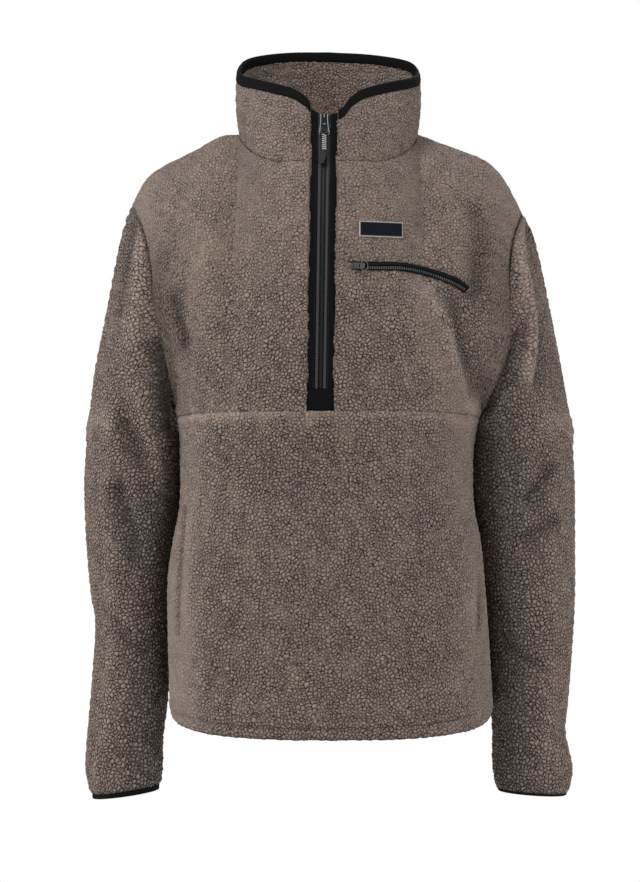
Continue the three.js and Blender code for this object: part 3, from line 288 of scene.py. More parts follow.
def upperBody(face, s, v):
    # those columns, bent at the sides into the armhole seam
    s, v = np.broadcast_arrays(np.asarray(s, float), np.asarray(v, float))
    sign = -1 if face == "front" else 1
    points = plainColumn(face, s, v)
    for name, edge in (("left", -1.0), ("right", 1.0)):
        here = (s < 0) if edge < 0 else (s >= 0)
        bend = alongPoints(armhole[name, face], v) - plainColumn(face, np.full_like(s, edge), v)
        points = points + pick(here, bend * (np.abs(s) ** 3)[..., None], 0)
    fade = (1 - s ** 8) * (1 - smooth(0.8, 1, v)) * smooth(0, 0.12, v)
    points[..., 1] += sign * foldHeight(folds, "body", face, points) * fade
    return points


def armholePoint(side, angle):
    # up the front seam from 180 degrees to 0, and down the back one from 360 to 180
    front = alongPoints(armhole[side, "front"], 1 - angle / 180)
    back = alongPoints(armhole[side, "back"], (angle - 180) / 180)
    return pick(angle <= 180, front, back)


def sleeveRings(side, angle):
    # ovals between an outer and an inner point, which share the armhole's outline near the shoulder
    outwards = -1 if side == "left" else 1
    cos, sin = np.cos(np.radians(angle)), np.sin(np.radians(angle))
    outer = (1 + cos) / 2
    loop = armholePoint(side, angle)
    ends = armholePoint(side, np.array([0.0, 180.0]))
    rings = [loop]
    for outX, outZ, inX, inZ, y, deep, lift, bow, own in sleeveTable[side]:
        oval = vec(lerp(inX, outX, outer), y - deep * sin, lerp(inZ, outZ, outer))
        top = np.array([outX, y, outZ]) - ends[0]
        under = np.array([inX, y, inZ]) - ends[1]
        ring = lerp(oval, loop + lerp(under, top, outer[..., None]), own)
        rings.append(ring + vec(outwards * bow * sin ** 2, 0, lift * sin ** 2))
    return np.array(rings)


def sleeve(side, angle, h):
    # each angle follows a smooth curve through its rings; result is angles x heights
    points = np.swapaxes(alongPoints(sleeveRings(side, angle), h), 0, 1)
    middle = alongPoints(sleeveRings(side, np.array([0.0, 180.0])).mean(axis=1), h)
    radial = points - middle[None]
    fade = smooth(0, 0.1, h)[None] * np.minimum(1, np.abs(radial[..., 1]) / 25)
    height = np.where(radial[..., 1] < 0, foldHeight(folds, "sleeve", "front", points),
                      foldHeight(folds, "sleeve", "back", points))
    return points + unit(radial) * (fade * height)[..., None]


def collar(angle, side, w):
    # straight from the neck seam to the rim, with a slight belly outwards
    angle, side, w = np.broadcast_arrays(angle, side, w)
    outwards = vec(side * np.sin(np.radians(angle)), -np.cos(np.radians(angle)), 0)
    belly = neck["belly"] * np.sin(math.pi * w) * smooth(4, 30, angle)
    points = lerp(neckRing("seam", angle, side), neckRing("rim", angle, side), w[..., None])
    return points + outwards * belly[..., None]


def collarTop(angle):
    # share of the collar's height at which its binding starts
    tall = np.linalg.norm(neckRing("rim", angle, 1) - neckRing("seam", angle, 1), axis=-1)
    return 1 - neck["binding"] / tall


def zipX(z):
    # the zip leans a little: x of its middle is a straight line in z
    return zipLine["middle"] + zipLine["slope"] * z


def halve(low, high, surface, d):
    # halves an interval until the surface is at distance d from the zip's middle
    for step in range(30):
        middle = (low + high) / 2
        points = surface(middle)
        left = points[..., 0] < zipX(points[..., 2]) + d
        low, high = np.where(left, middle, low), np.where(left, high, middle)
    return (low + high) / 2


def shareAt(d, v):
    # share s of the front panel, at height v, that lies at distance d from the zip's middle
    d, v = np.broadcast_arrays(np.asarray(d, float), np.asarray(v, float))
    return halve(np.full(v.shape, -0.3), np.full(v.shape, 0.3), lambda s: upperBody("front", s, v), d)


def angleAt(d, w):
    # angle round the collar, at height w, that lies at distance d from the zip's middle
    d, w = np.broadcast_arrays(np.asarray(d, float), np.asarray(w, float))
    onCollar = lambda angle: collar(np.abs(angle), np.where(angle < 0, -1, 1), w)
    return halve(np.full(w.shape, -40.0), np.full(w.shape, 40.0), onCollar, d)


def opening(d, v, w):
    # grid over the zip's opening: distances d across, stations v up the front and then w up the collar
    front = upperBody("front", shareAt(d[:, None], v[None]), v[None])
    if not len(w):
        return front
    angle = angleAt(d[:, None], w[None])
    return np.concatenate([front, collar(np.abs(angle), np.where(angle < 0, -1, 1), w[None])], axis=1)


def frontAt(x, z):
    # s and v whose front point has this x and z, found by small steps; then that point and its normal
    s, v = np.full(x.shape, 0.3), np.full(x.shape, 0.6)
    for step in range(40):
        points = upperBody("front", s, v)
        s = s + (x - points[..., 0]) / 260
        v = v + (z - points[..., 2]) / 330
    e = 0.02
    across = upperBody("front", s + e, v) - upperBody("front", s - e, v)
    up = upperBody("front", s, v + e) - upperBody("front", s, v - e)
    return upperBody("front", s, v), unit(np.cross(across, up))


# Meshes from arrays

def gridNormals(grid, ring=False):
    # cross product of the steps across the columns and up the rows
    across = np.roll(grid, -1, 0) - np.roll(grid, 1, 0) if ring else np.gradient(grid, axis=0)
    return unit(np.cross(across, np.gradient(grid, axis=1)))


def gridQuads(columns, rows, ring=False, first=0):
    # four-sided faces of a grid whose points are numbered up each column in turn
    i = np.arange(columns if ring else columns - 1)[:, None]
    j = np.arange(rows - 1)[None]
    at = lambda a, b: (first + (a % columns) * rows + b)
    return np.stack([at(i, j), at(i + 1, j), at(i + 1, j + 1), at(i, j + 1)], axis=-1).reshape(-1, 4)


def rimLoops(columns, rows, ring, first=0):
    # the grid's boundary in the faces' own direction: one loop, or two on a ring
    at = lambda a, b: first + a * rows + b
    i, j = np.arange(columns), np.arange(rows)
    if ring:
        i = np.append(i, 0)
        return [at(i, 0), at(i[::-1], rows - 1)]
    return [np.concatenate([at(i, 0), at(columns - 1, j[1:]), at(i[::-1][1:], rows - 1), at(0, j[::-1][1:])])]


def makeMesh(name, points, quads, triangles, attributes, material, smoothed=True, cells=None):
    # writes the arrays into a mesh on the garment's body, with values on its points and curls as a UV map
    mesh = bpy.data.meshes.new(name)
    mesh.vertices.add(len(points))
    mesh.vertices.foreach_set("co", (np.asarray(points) * mm).astype(np.float32).ravel())
    corners = np.concatenate([quads.ravel(), triangles.ravel()]).astype(np.int32)
    starts = np.concatenate([np.arange(len(quads)) * 4, 4 * len(quads) + np.arange(len(triangles)) * 3])
    mesh.loops.add(len(corners))
    mesh.loops.foreach_set("vertex_index", corners)
    mesh.polygons.add(len(starts))
    mesh.polygons.foreach_set("loop_start", starts.astype(np.int32))
    mesh.update(calc_edges=True)
    for key, values in attributes.items():
        layer = mesh.attributes.new(key, "FLOAT", "POINT")
        layer.data.foreach_set("value", np.asarray(values, np.float32).ravel())
    if cells is not None:
        mesh.uv_layers.new(name="cells").data.foreach_set("uv", cellCorners(corners, len(quads), cells))
    if smoothed:
        mesh.shade_smooth()
    else:
        mesh.shade_flat()
    piece = bpy.data.objects.new(name, mesh)
    bpy.context.scene.collection.objects.link(piece)
    mesh.materials.append(material)
    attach(piece, "root")
    return piece


def cellCorners(corners, quadCount, cells):
    # cell coordinates of each face's corners; a face that closes a ring goes on by one turn of it
    cells = np.asarray(cells)
    found = cells[corners, :2].astype(np.float32)
    farApart = 12           # corners of one face never lie as many cells apart, unless it closes the ring
    for first, last, size in ((0, 4 * quadCount, 4), (4 * quadCount, len(corners), 3)):
        part = found[first:last].reshape(-1, size, 2)
        turn = cells[corners[first:last], 2].reshape(-1, size)
        behind = part[..., 0] < part[..., 0].max(axis=1, keepdims=True) - farApart
        part[..., 0] += behind * turn
    return found.ravel()


def shell(name, outer, inner, ring, attributes, material, step=1, cells=None):
    # outer and inner grids, joined all round; the inner one may be coarser by a whole number
    columns, rows = outer.shape[:2]
    coarse = inner[::step, ::step]
    innerColumns, innerRows = coarse.shape[:2]
    first = columns * rows
    points = np.concatenate([outer.reshape(-1, 3), coarse.reshape(-1, 3)])
    quads = [gridQuads(columns, rows, ring), gridQuads(innerColumns, innerRows, ring, first)[:, ::-1]]
    fans = []
    for edge, hidden in zip(rimLoops(columns, rows, ring), rimLoops(innerColumns, innerRows, ring, first)):
        a = np.stack([edge[k:len(edge) - step + k:step] for k in range(step + 1)])
        b0, b1 = hidden[:-1], hidden[1:]
        half = (step + 1) // 2
        fans += [np.stack([a[k + 1], a[k], b0 if k < half else b1], axis=-1) for k in range(step)]
        fans.append(np.stack([a[half], b0, b1], axis=-1))
    full = {key: np.concatenate([values[0].ravel(), values[1][::step, ::step].ravel()])
            for key, values in attributes.items()}
    if cells is not None:
        cells = np.concatenate([cells.reshape(-1, 3), cells[::step, ::step].reshape(-1, 3)])
    faces = np.concatenate(quads), np.concatenate(fans)
    return makeMesh(name, points, *faces, full, material, cells=cells)


def tube(name, sections, closed, attributes, material):
    # closed outlines carried along stations, with fan caps on open ends
    count, sides = sections.shape[:2]
    points = sections.reshape(-1, 3)
    k = np.arange(count if closed else count - 1)[:, None]
    m = np.arange(sides)[None]
    at = lambda a, b: (a % count) * sides + b % sides
    quads = np.stack([at(k, m), at(k, m + 1), at(k + 1, m + 1), at(k + 1, m)], axis=-1).reshape(-1, 4)
    fans = np.zeros((0, 3), int)
    full = {key: np.broadcast_to(values, (count, sides)).ravel() for key, values in attributes.items()}
    if not closed:
        points = np.concatenate([points, sections[[0, -1]].mean(axis=1)])
        side = np.arange(sides)
        last = (count - 1) * sides
        fans = np.concatenate([
            np.stack([np.full(sides, len(points) - 2), (side + 1) % sides, side], axis=-1),
            np.stack([np.full(sides, len(points) - 1), last + side, last + (side + 1) % sides], axis=-1)])
        full = {key: np.append(values, [values[0], values[-1]]) for key, values in full.items()}
    if sectionVolume(points, quads) < 0:
        quads, fans = quads[:, ::-1], fans[:, ::-1]
    return makeMesh(name, points, quads, fans, full, material)


def sectionVolume(points, quads):
    # six times the volume of the pyramids from the middle to each face
    p = points - points.mean(axis=0)
    a, b, c, d = (p[quads[:, k]] for k in range(4))
    return float((a * np.cross(b, c) + a * np.cross(c, d)).sum())


def copies(name, shape, faces, places, axes, material):
    # one small closed shape at every place, turned to its three axes, as one mesh
    points = places[:, None] + np.einsum("nk,pkc->pnc", shape, axes)
    quads = (np.asarray(faces)[None] + (np.arange(len(places)) * len(shape))[:, None, None]).reshape(-1, 4)
    return makeMesh(name, points.reshape(-1, 3), quads, np.zeros((0, 3), int), {}, material, smoothed=False)


# Pile

pile = {
    "clump": {"body": 3.8, "sleeve": 4.3, "collar": 3.6},       # size of one curl
    "warp": (1.2, 0.2),     # how far the curls are pushed about, in wide and in short waves
    "crack": 0.95,          # depth of the partings between curls
    "depth": {"body": 1.0, "sleeve": 1.6, "collar": 0.65},      # share of it on each kind of piece
    "round": 2.3,           # how soon a curl rises from its border, in shares of a curl
    "lump": 0.35,           # slow rise and fall of the pile
    "ragged": {"seam": 0.7, "placket": 1.8},    # how far tips reach over an edge
    "start": 700,           # keeps the curls' places above zero
}
# length and seed of each field of waves
waves = {
    "wide": (21, 3), "short": (8, 5), "matted": (34, 7), "tangled": (12, 8), "lump": (10, 9),
    "tips": (9, 51), "tipEnds": (4, 52), "comb": (16, 61), "bed": (8, 31), "bedEnds": (4, 32),
}
# share of its full relief that the pile keeps, with the stretch over which it changes
brush = {
    "chestZ": (-200, -100), "chest": 0.55,                              # up the chest
    "cornerX": (-128, -160), "cornerZ": (-400, -500), "corner": 0.4,    # at the lower left side
    "turned": (0.5, 0.85), "side": 0.5,                                 # where the body faces sideways
    "sleeveTurn": (-0.5, 0.8), "inner": 1.35, "outer": 0.6,             # round a sleeve
    "capZ": (-340, -210), "cap": 0.72,                                  # at the top of a sleeve
    "comb": (14, 2), "waver": 5, "combX": (-30, 50), "combRight": 0.45,     # along a combed edge
    # pale is a painted highlight along a combed edge
    "combed": 0.3, "pale": 0.07,        # the relief left there, and how much paler it is
}


def wobble(points, name):
    # half the sum of four crossed sine waves of about this length, for each of three values
    wave, seed = waves[name]
    rand = np.random.default_rng(seed)
    total = np.zeros(points.shape)
    for k in range(4):
        direction = unit(rand.normal(size=(3, 3)))
        rate = 2 * math.pi / (wave * rand.uniform(0.7, 1.4, 3))
        total += np.sin(points @ (direction * rate[:, None]).T + rand.uniform(0, 6.28, 3))
    return total / 2


def cellTree():
    # stores the distance to the nearest border of flat Voronoi cells on a mesh's points
    tree = bpy.data.node_groups.new("cells", "GeometryNodeTree")
    for way in ("INPUT", "OUTPUT"):
        tree.interface.new_socket("Geometry", in_out=way, socket_type="NodeSocketGeometry")
    start, end = tree.nodes.new("NodeGroupInput"), tree.nodes.new("NodeGroupOutput")
    place = tree.nodes.new("GeometryNodeInputPosition")
    cells = tree.nodes.new("ShaderNodeTexVoronoi")
    cells.voronoi_dimensions, cells.feature = "2D", "DISTANCE_TO_EDGE"
    cells.inputs["Scale"].default_value = 1
    store = tree.nodes.new("GeometryNodeStoreNamedAttribute")
    store.inputs["Name"].default_value = "border"
    tree.links.new(place.outputs[0], cells.inputs["Vector"])
    tree.links.new(start.outputs[0], store.inputs["Geometry"])
    tree.links.new(cells.outputs["Distance"], store.inputs["Value"])
    tree.links.new(store.outputs[0], end.inputs[0])
    return tree


def cellBorders(cells):
    # the same cells as the pile's material draws, read on a probe mesh of loose points
    mesh = bpy.data.meshes.new("probe")
    count = cells[..., 0].size
    mesh.vertices.add(count)
    flat = np.zeros((count, 3), np.float32)
    flat[:, :2] = cells[..., :2].reshape(-1, 2)
    mesh.vertices.foreach_set("co", flat.ravel())
    probe = bpy.data.objects.new("probe", mesh)
    bpy.context.scene.collection.objects.link(probe)
    probe.modifiers.new("cells", "NODES").node_group = pileTree
    evaluated = probe.evaluated_get(bpy.context.evaluated_depsgraph_get())
    border = np.zeros(count, np.float32)
    evaluated.data.attributes["border"].data.foreach_get("value", border)
    bpy.data.objects.remove(probe)
    bpy.data.meshes.remove(mesh)
    return border.reshape(cells.shape[:-1]).astype(float)


pileTree = cellTree()
roundBox = {
    "levels": 26, "thick": 14,      # cuts that are measured, and half of each one's thickness
    "ends": (6, 20),                # the first and the last one from the sleeve's ends
    "beside": (-300, -215),         # heights between which the half box takes over
    "least": (28, 44),              # smallest half sizes
    "power": (2.6, 2.1),            # roundness away from the armhole and beside it
    "turn": 360,                    # steps in one turn
}


def roundLengths(grid):
    # running length round a sleeve at its own height: its cuts are taken as rounded boxes of half sizes
    # a and b, r(angle) = (|sin / a|^n + |cos / b|^n)^(-1/n), whose lengths are summed and read back by
    # angle and height; beside the armhole only the outer half of such a box is left, about the seam
    z = grid[..., 2]
    low, high = roundBox["ends"]
    levels = np.linspace(z.min() + low, z.max() - high, roundBox["levels"])
    rings = [grid[np.abs(z - level) < roundBox["thick"]][:, :2] for level in levels]
    least, most = (np.array([getattr(ring, way)(axis=0) for ring in rings]) for way in ("min", "max"))
    middle, half = (least + most) / 2, (most - least) / 2
    beside = smooth(*roundBox["beside"], levels)
    inside = most[:, 0] if grid[..., 0].mean() < 0 else least[:, 0]
    middle[:, 0] = lerp(middle[:, 0], inside, beside)
    half = np.maximum(half * vec(1 + beside, 1, 0)[:, :2], roundBox["least"])
    even = lambda values: np.convolve(np.pad(values, 2, "edge"), np.ones(5) / 5, "valid")
    x, y = (grid[..., k] - np.interp(z, levels, even(middle[:, k])) for k in (0, 1))
    angle = np.arctan2(x, -y)
    angle[0] = np.unwrap(angle[0])
    angle = np.unwrap(angle, axis=0)
    angle = angle - 2 * math.pi * round(float(np.mean(angle[len(grid) // 2])) / (2 * math.pi))
    once = roundBox["turn"]
    start = 3 * once // 2           # three turns are laid out, and this is their middle
    turns = np.linspace(-3 * math.pi, 3 * math.pi, 3 * once + 1)
    a, b = even(half[:, 0])[:, None], even(half[:, 1])[:, None]
    power = lerp(*roundBox["power"], beside)[:, None]
    radius = (np.abs(np.sin(turns) / a) ** power + np.abs(np.cos(turns) / b) ** power) ** (-1 / power)
    rim = np.stack([radius * np.sin(turns), radius * np.cos(turns)], axis=-1)
    sums = np.cumsum(np.linalg.norm(np.diff(rim, axis=1, prepend=rim[:, :1]), axis=-1), axis=1)
    sums = sums - sums[:, start:start + 1]
    row = np.clip((z - levels[0]) / (levels[1] - levels[0]), 0, len(levels) - 1.001)
    column = (angle + 3 * math.pi) / (turns[1] - turns[0])
    i, j = row.astype(int), np.clip(column.astype(int), 0, 3 * once - 1)
    read = lambda k: lerp(sums[k, j], sums[k, j + 1], column - j)
    oneTurn = sums[:, start + once] - sums[:, start]
    across = lerp(read(i), read(i + 1), row - i)
    return np.sign(angle[-1, 0] - angle[0, 0]) * across, lerp(oneTurn[i], oneTurn[i + 1], row - i)


def cellPlaces(grid, away, ring, clump):
    # places in curls: running lengths across and up a panel, or round a sleeve at one height, and its z;
    # the third value is one turn of a ring
    if ring:
        across, turn = roundLengths(grid)
        up = grid[..., 2]
    else:
        step = np.linalg.norm(np.roll(grid, -1, 0) - grid, axis=-1)
        across = np.concatenate([np.zeros((1, grid.shape[1])), np.cumsum(step, axis=0)[:-1]])
        across, up = across - across[len(grid) // 2][None], away["low"]
        turn = np.zeros_like(across)
    wide, short = pile["warp"]
    push = wide * wobble(grid, "wide") + short * wobble(grid, "short")
    return vec(across + push[..., 0], up + push[..., 1] + pile["start"], turn) / clump


def edgeDistances(grid, ring):
    # running length along the cloth to its first and last column, and to its first and last row
    across = np.linalg.norm(np.diff(grid, axis=0), axis=-1)
    up = np.linalg.norm(np.diff(grid, axis=1), axis=-1)
    acrossSum = np.concatenate([np.zeros((1, grid.shape[1])), np.cumsum(across, axis=0)])
    upSum = np.concatenate([np.zeros((grid.shape[0], 1)), np.cumsum(up, axis=1)], axis=1)
    far = np.full(grid.shape[:2], 1e3)
    first, last = (far, far) if ring else (acrossSum, acrossSum[-1:] - acrossSum)
    return {"first": first, "last": last, "low": upSum, "high": upSum[:, -1:] - upSum}


def evenly(points, count):
    # shares at equal steps of running length along a dense line
    length = runLength(points)
    return np.interp(np.linspace(0, length[-1], count), length, np.linspace(0, 1, len(points)))


def openSeam(grid, ring, ragged):
    # moves each edge a little along the cloth: back from the seam, or over it where tips of the pile reach
    grid = grid.copy()
    sides = {"low": (grid[:, 0], grid[:, 1]), "high": (grid[:, -1], grid[:, -2])}
    if not ring:
        sides.update({"first": (grid[0], grid[1]), "last": (grid[-1], grid[-2])})
    for edge, (line, beside) in sides.items():
        uneven = 0.6 * wobble(line, "tips")[:, 0] + 0.6 * wobble(line, "tipEnds")[:, 1] + 0.3
        tips = pile["ragged"][ragged.get(edge, "seam")] * np.clip(uneven, -0.1, 1)
        line += (cloth["seamGap"] - tips)[:, None] * unit(beside - line)
    return grid


def foldsOn(rows, piece, points, normals):
    # folds of each side of a piece, faded out where the cloth turns away from that side
    x, y = normals[..., 0], normals[..., 1]
    sideways = points[..., [1, 1, 2]]
    seen = {"front": (-y, points), "back": (y, points), "left": (-x, sideways), "right": (x, sideways)}
    return sum(smooth(0.05, 0.5, facing) * foldHeight(rows, piece, face, places)
               for face, (facing, places) in seen.items())


def brushed(piece, grid, normals):
    # share of its full relief that the pile keeps on each kind of piece; the same share scales the painted
    # shade in the partings
    x, z, sideways = grid[..., 0], grid[..., 2], normals[..., 0]
    if piece == "body":
        corner = smooth(*brush["cornerX"], x) * smooth(*brush["cornerZ"], z)
        share = lerp(1.0, brush["chest"], smooth(*brush["chestZ"], z)) * lerp(1.0, brush["corner"], corner)
        return share * lerp(1.0, brush["side"], smooth(*brush["turned"], np.abs(sideways)))
    if piece == "sleeve":
        share = lerp(brush["inner"], brush["outer"], smooth(*brush["sleeveTurn"], sideways * np.sign(x)))
        return lerp(share, brush["cap"], smooth(*brush["capZ"], z))
    return np.ones(grid.shape[:2])


def combedAlong(distance, grid):
    # 1 at an edge along which the pile lies flat and gets a painted highlight, waving, and weaker towards the
    # right
    flat = smooth(*brush["comb"], distance + brush["waver"] * wobble(grid, "comb")[..., 0])
    return flat * lerp(1.0, brush["combRight"], smooth(*brush["combX"], grid[..., 0]))


def fleecePanel(name, node, grid, edges, piece="body", ring=False, extra=None, step=None, ragged={},
                combed=None):
    # cloth shell: its face is lifted by domes, 2n - n^2 of the distance n to a curl's border, by lumps and
    # creases, and sinks at each edge by deep * exp(-(distance / wide)^1.6) into the seam
    grid = openSeam(grid, ring, ragged)
    normals = gridNormals(grid, ring)
    away = edgeDistances(grid, ring)
    cells = cellPlaces(grid, away, ring, pile["clump"][piece])
    near = np.clip(cellBorders(cells) * pile["round"], 0, 1)
    crease = foldsOn(creases, piece, grid, normals)
    form = crease + foldsOn(folds, piece, grid, normals)
    matted = wobble(grid, "matted")[..., 0] * 0.6 + wobble(grid, "tangled")[..., 1] * 0.5
    uneven = np.clip(1 + 0.3 * matted, 0.45, 1.6) * np.clip(1 - form / 8, 0.45, 1.6)
    flat = combedAlong(away[combed], grid) if combed else np.zeros(grid.shape[:2])
    parting = pile["depth"][piece] * brushed(piece, grid, normals) * lerp(1.0, brush["combed"], flat) * uneven
    parting = np.clip(parting, 0, 2.4)
    sink, calm = np.zeros(grid.shape[:2]), np.ones(grid.shape[:2])
    for edge, (deep, wide) in edges.items():
        sink = np.maximum(sink, deep * np.exp(-(away[edge] / wide) ** 1.6))
        calm = np.minimum(calm, smooth(-4, 4, away[edge]))
    dome = near * (2 - near) - 0.7
    lumps = pile["lump"] * wobble(grid, "lump")[..., 0]
    height = (pile["crack"] * (0.4 + 0.7 * parting) * dome + lumps) * calm
    lift = height + crease - sink
    if extra:
        more, flatter = extra(grid)
        lift = lerp(lift, more, flatter)
    outer = grid + normals * lift[..., None]
    inner = grid + normals * (np.minimum(crease, 0) - cloth["wall"])[..., None]
    if step == 1:                   # a finely made inner side carries the pile too
        inner = inner - normals * height[..., None]
    # painted shade: darker where an edge sinks into its seam and in troughs, and painted light on ridges
    shade = np.clip(1 - sink / 7, 0.5, 1) * np.clip(1 + 0.055 * crease, 0.4, 1.12)
    # painted highlight along a combed edge, where the pile lies flat
    shade = shade * (1 + brush["pale"] * flat)
    attributes = {"parting": (parting, parting), "shade": (shade, shade)}
    made = shell(name, outer, inner, ring, attributes, fleece, step or cloth["innerStep"], cells)
    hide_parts(node)
    print(name, len(made.data.polygons), "faces")
    return made


# finer creases than the frame's: piece, side of the garment, points as x and z (y and z on left and right),
# width, height
creases = [
    ("body", "front", [(-157, -393), (-160, -430), (-163, -480), (-164, -530)], 2.4, -3.8),
    ("body", "front", [(166, -470), (165, -500), (164, -525)], 2.4, -3.8),
    ("body", "front", [(-150, -400), (-152, -460), (-151, -520)], 4, 1.7),
    ("body", "front", [(156, -465), (156, -500), (153, -530)], 4, 1.4),
    ("body", "front", [(-173, -616), (-120, -622.6), (-44, -627), (24, -627), (107, -623.7),
                       (152, -617)], 2.0, -2.0),
    ("body", "front", [(-160, -299), (-124, -290.5), (-85, -288), (14, -288), (57, -290.5), (101, -295),
                       (140, -299), (156, -302.5)], 4.5, 1.5),
    ("body", "front", [(108, -161), (128, -191), (136, -226), (146, -259), (156, -286)], 7, 3.8),
    ("body", "front", [(134, -168), (141, -215), (153, -268)], 6, -3.8),
    ("body", "front", [(162, -74), (165, -110), (161, -158)], 9, -4.3),
    ("body", "front", [(-166, -168), (-161, -190), (-155, -214)], 5, -4.3),
    ("body", "left", [(-20, -288), (8, -296), (30, -300)], 14, 3.2),
    ("body", "right", [(-20, -288), (8, -296), (30, -300)], 14, 2.6),
    ("sleeve", "front", [(-212, -64), (-218, -107), (-223, -135), (-226, -156), (-229, -182)], 5.5, -3.8),
    ("sleeve", "front", [(-203, -84), (-206, -130), (-207, -170), (-214, -215)], 7, 2.9),
    ("sleeve", "front", [(-222, -300), (-213, -322), (-205, -346)], 6, -4.6),
    ("sleeve", "front", [(-232, -375), (-222, -396), (-214, -420), (-214, -452)], 6.5, -4.9),
    ("sleeve", "front", [(-204, -262), (-200, -300), (-190, -330), (-184, -372)], 8, 3.5),
    ("sleeve", "front", [(-182, -222), (-174, -258), (-170, -302)], 11, -8),
    ("sleeve", "front", [(211, -73), (208, -121), (218, -161), (223, -194), (222, -218),
                         (216, -254)], 5, 4.3),
    ("sleeve", "front", [(222, -88), (222, -130), (231, -180), (232, -222), (226, -262)], 5.5, -3.8),
    ("sleeve", "front", [(205, -205), (196, -228), (186, -256), (172, -282)], 7, -5.8),
    ("sleeve", "front", [(240, -353), (229, -369), (218, -385)], 6, -2.6),
    ("sleeve", "front", [(246, -410), (230, -420), (213, -428)], 6, -2.4),
    ("sleeve", "front", [(196, -545), (214, -560), (233, -566)], 5.5, -3.2),
    ("sleeve", "front", [(-236, -520), (-222, -540), (-200, -552)], 6, -3.5),
    ("sleeve", "right", [(-20, -292), (10, -302), (40, -308)], 14, 3),
    ("sleeve", "left", [(-20, -292), (10, -302), (40, -308)], 14, 2.6),
    ("sleeve", "back", [(216, -150), (222, -210), (218, -262)], 7, -4.3),
    ("sleeve", "back", [(-214, -150), (-222, -205), (-220, -258)], 7, -4.3),
    ("sleeve", "back", [(228, -430), (214, -446), (203, -470)], 6, -4.3),
    ("sleeve", "back", [(-226, -428), (-214, -450), (-204, -474)], 6, -4.3),
    ("body", "back", [(-166, -616), (-60, -628), (60, -628), (166, -616)], 2.0, -1.4),
]
# size of a grid's cells, and the lengths across and up that they divide; the back has two up
fleeceStep = {"yoke": 1.4, "lower": 1.35, "back": 1.9, "sleeve": 1.8, "collar": 1.7}
fleeceLength = {
    "yoke": (232, 345), "lower": (445, 345), "back": (440, 325, 340), "sleeve": (365, 620),
    "collar": (600, 80),
}


def stepsFor(panel):
    # numbers of points: each length over the cells' size, rounded so that the hidden side's cells fit in
    multiple = cloth["innerStep"]
    cells = multiple * fleeceStep[panel]
    return [int(round(length / cells)) * multiple + 1 for length in fleeceLength[panel]]


# Shader helpers

class Wire:
    # a shader socket with arithmetic: each operator adds a Math node
    def __init__(self, shade, socket):
        self.shade = shade
        self.socket = socket

    def maths(self, operation, *values):
        # one Math node with these values or links
        return self.shade.node("ShaderNodeMath", {"operation": operation}, dict(enumerate(values)))

    def __add__(self, other):
        return self.maths("ADD", self, other)

    __radd__ = __add__

    def __sub__(self, other):
        return self.maths("SUBTRACT", self, other)

    def __rsub__(self, other):
        return self.maths("SUBTRACT", other, self)

    def __mul__(self, other):
        return self.maths("MULTIPLY", self, other)

    __rmul__ = __mul__

    def clamped(self):
        # between 0 and 1
        return self.shade.node("ShaderNodeClamp", {}, {0: self})

    def sine(self):
        return self.maths("SINE", self)


class Shade:
    # a material under construction
    def __init__(self, name):
        self.material = bpy.data.materials.new(name)
        self.material.use_nodes = True
        self.nodes = self.material.node_tree.nodes
        self.links = self.material.node_tree.links
        self.principled = self.nodes["Principled BSDF"]

    def node(self, kind, settings, values, out=0):
        # settings first (a ramp's stops too), then values or links of the sockets, by name or number
        made = self.nodes.new(kind)
        for key, value in settings.items():
            if key == "stops":
                ramp = made.color_ramp
                for at in value[1:-1]:
                    ramp.elements.new(at[0])
                for element, (at, colour) in zip(ramp.elements, value):
                    element.position = at
                    element.color = (*colour, 1)
            else:
                setattr(made, key, value)
        self.fill(made, values)
        return Wire(self, made.outputs[out])

    def fill(self, made, values):
        # sets or links each socket; a colour of three values gets its fourth
        for key, value in values.items():
            socket = made.inputs[key]
            if isinstance(value, Wire):
                self.links.new(value.socket, socket)
            elif isinstance(value, tuple) and len(value) == 3 and socket.type == "RGBA":
                socket.default_value = (*value, 1)
            else:
                socket.default_value = value

    def coords(self):
        # the piece's own coordinates, in metres
        return self.node("ShaderNodeTexCoord", {}, {}, "Object")

    def attribute(self, name):
        # a value from the mesh's points, or 0 where a piece has none of this name
        return self.node("ShaderNodeAttribute", {"attribute_name": name}, {}, "Fac")

    def vector(self, operation, *values):
        # one Vector Math node with these values or links
        return self.node("ShaderNodeVectorMath", {"operation": operation}, dict(enumerate(values)))

    def noise(self, scale, detail=2, vector=None):
        # grain with this many waves to a metre
        values = {"Vector": vector or self.coords(), "Scale": scale, "Detail": detail, "Roughness": 0.5}
        return self.node("ShaderNodeTexNoise", {}, values, "Fac")

    def soft(self, value, low, high):
        # 0 below low, 1 above high, and 3f^2 - 2f^3 between
        return self.node("ShaderNodeMapRange", {"interpolation_type": "SMOOTHSTEP"},
                         {"Value": value, "From Min": low, "From Max": high}, "Result")

    def mix(self, a, b, factor):
        # colour a at 0, b at 1
        return self.node("ShaderNodeMix", {"data_type": "RGBA"}, {0: factor, 6: a, 7: b}, 2)

    def ramp(self, factor, stops):
        # colours at the stops, and straight lines between
        return self.node("ShaderNodeValToRGB", {"stops": stops}, {"Fac": factor}, "Color")

    def bump(self, height, distance, strength=1.0):
        # normal of a surface that rises by height * distance
        values = {"Strength": strength, "Distance": distance, "Height": height}
        return self.node("ShaderNodeBump", {}, values, "Normal")

    def done(self, **values):
        # fills the surface's own sockets, named with _ for a space, and gives the material
        self.fill(self.principled, {key.replace("_", " "): value for key, value in values.items()})
        return self.material


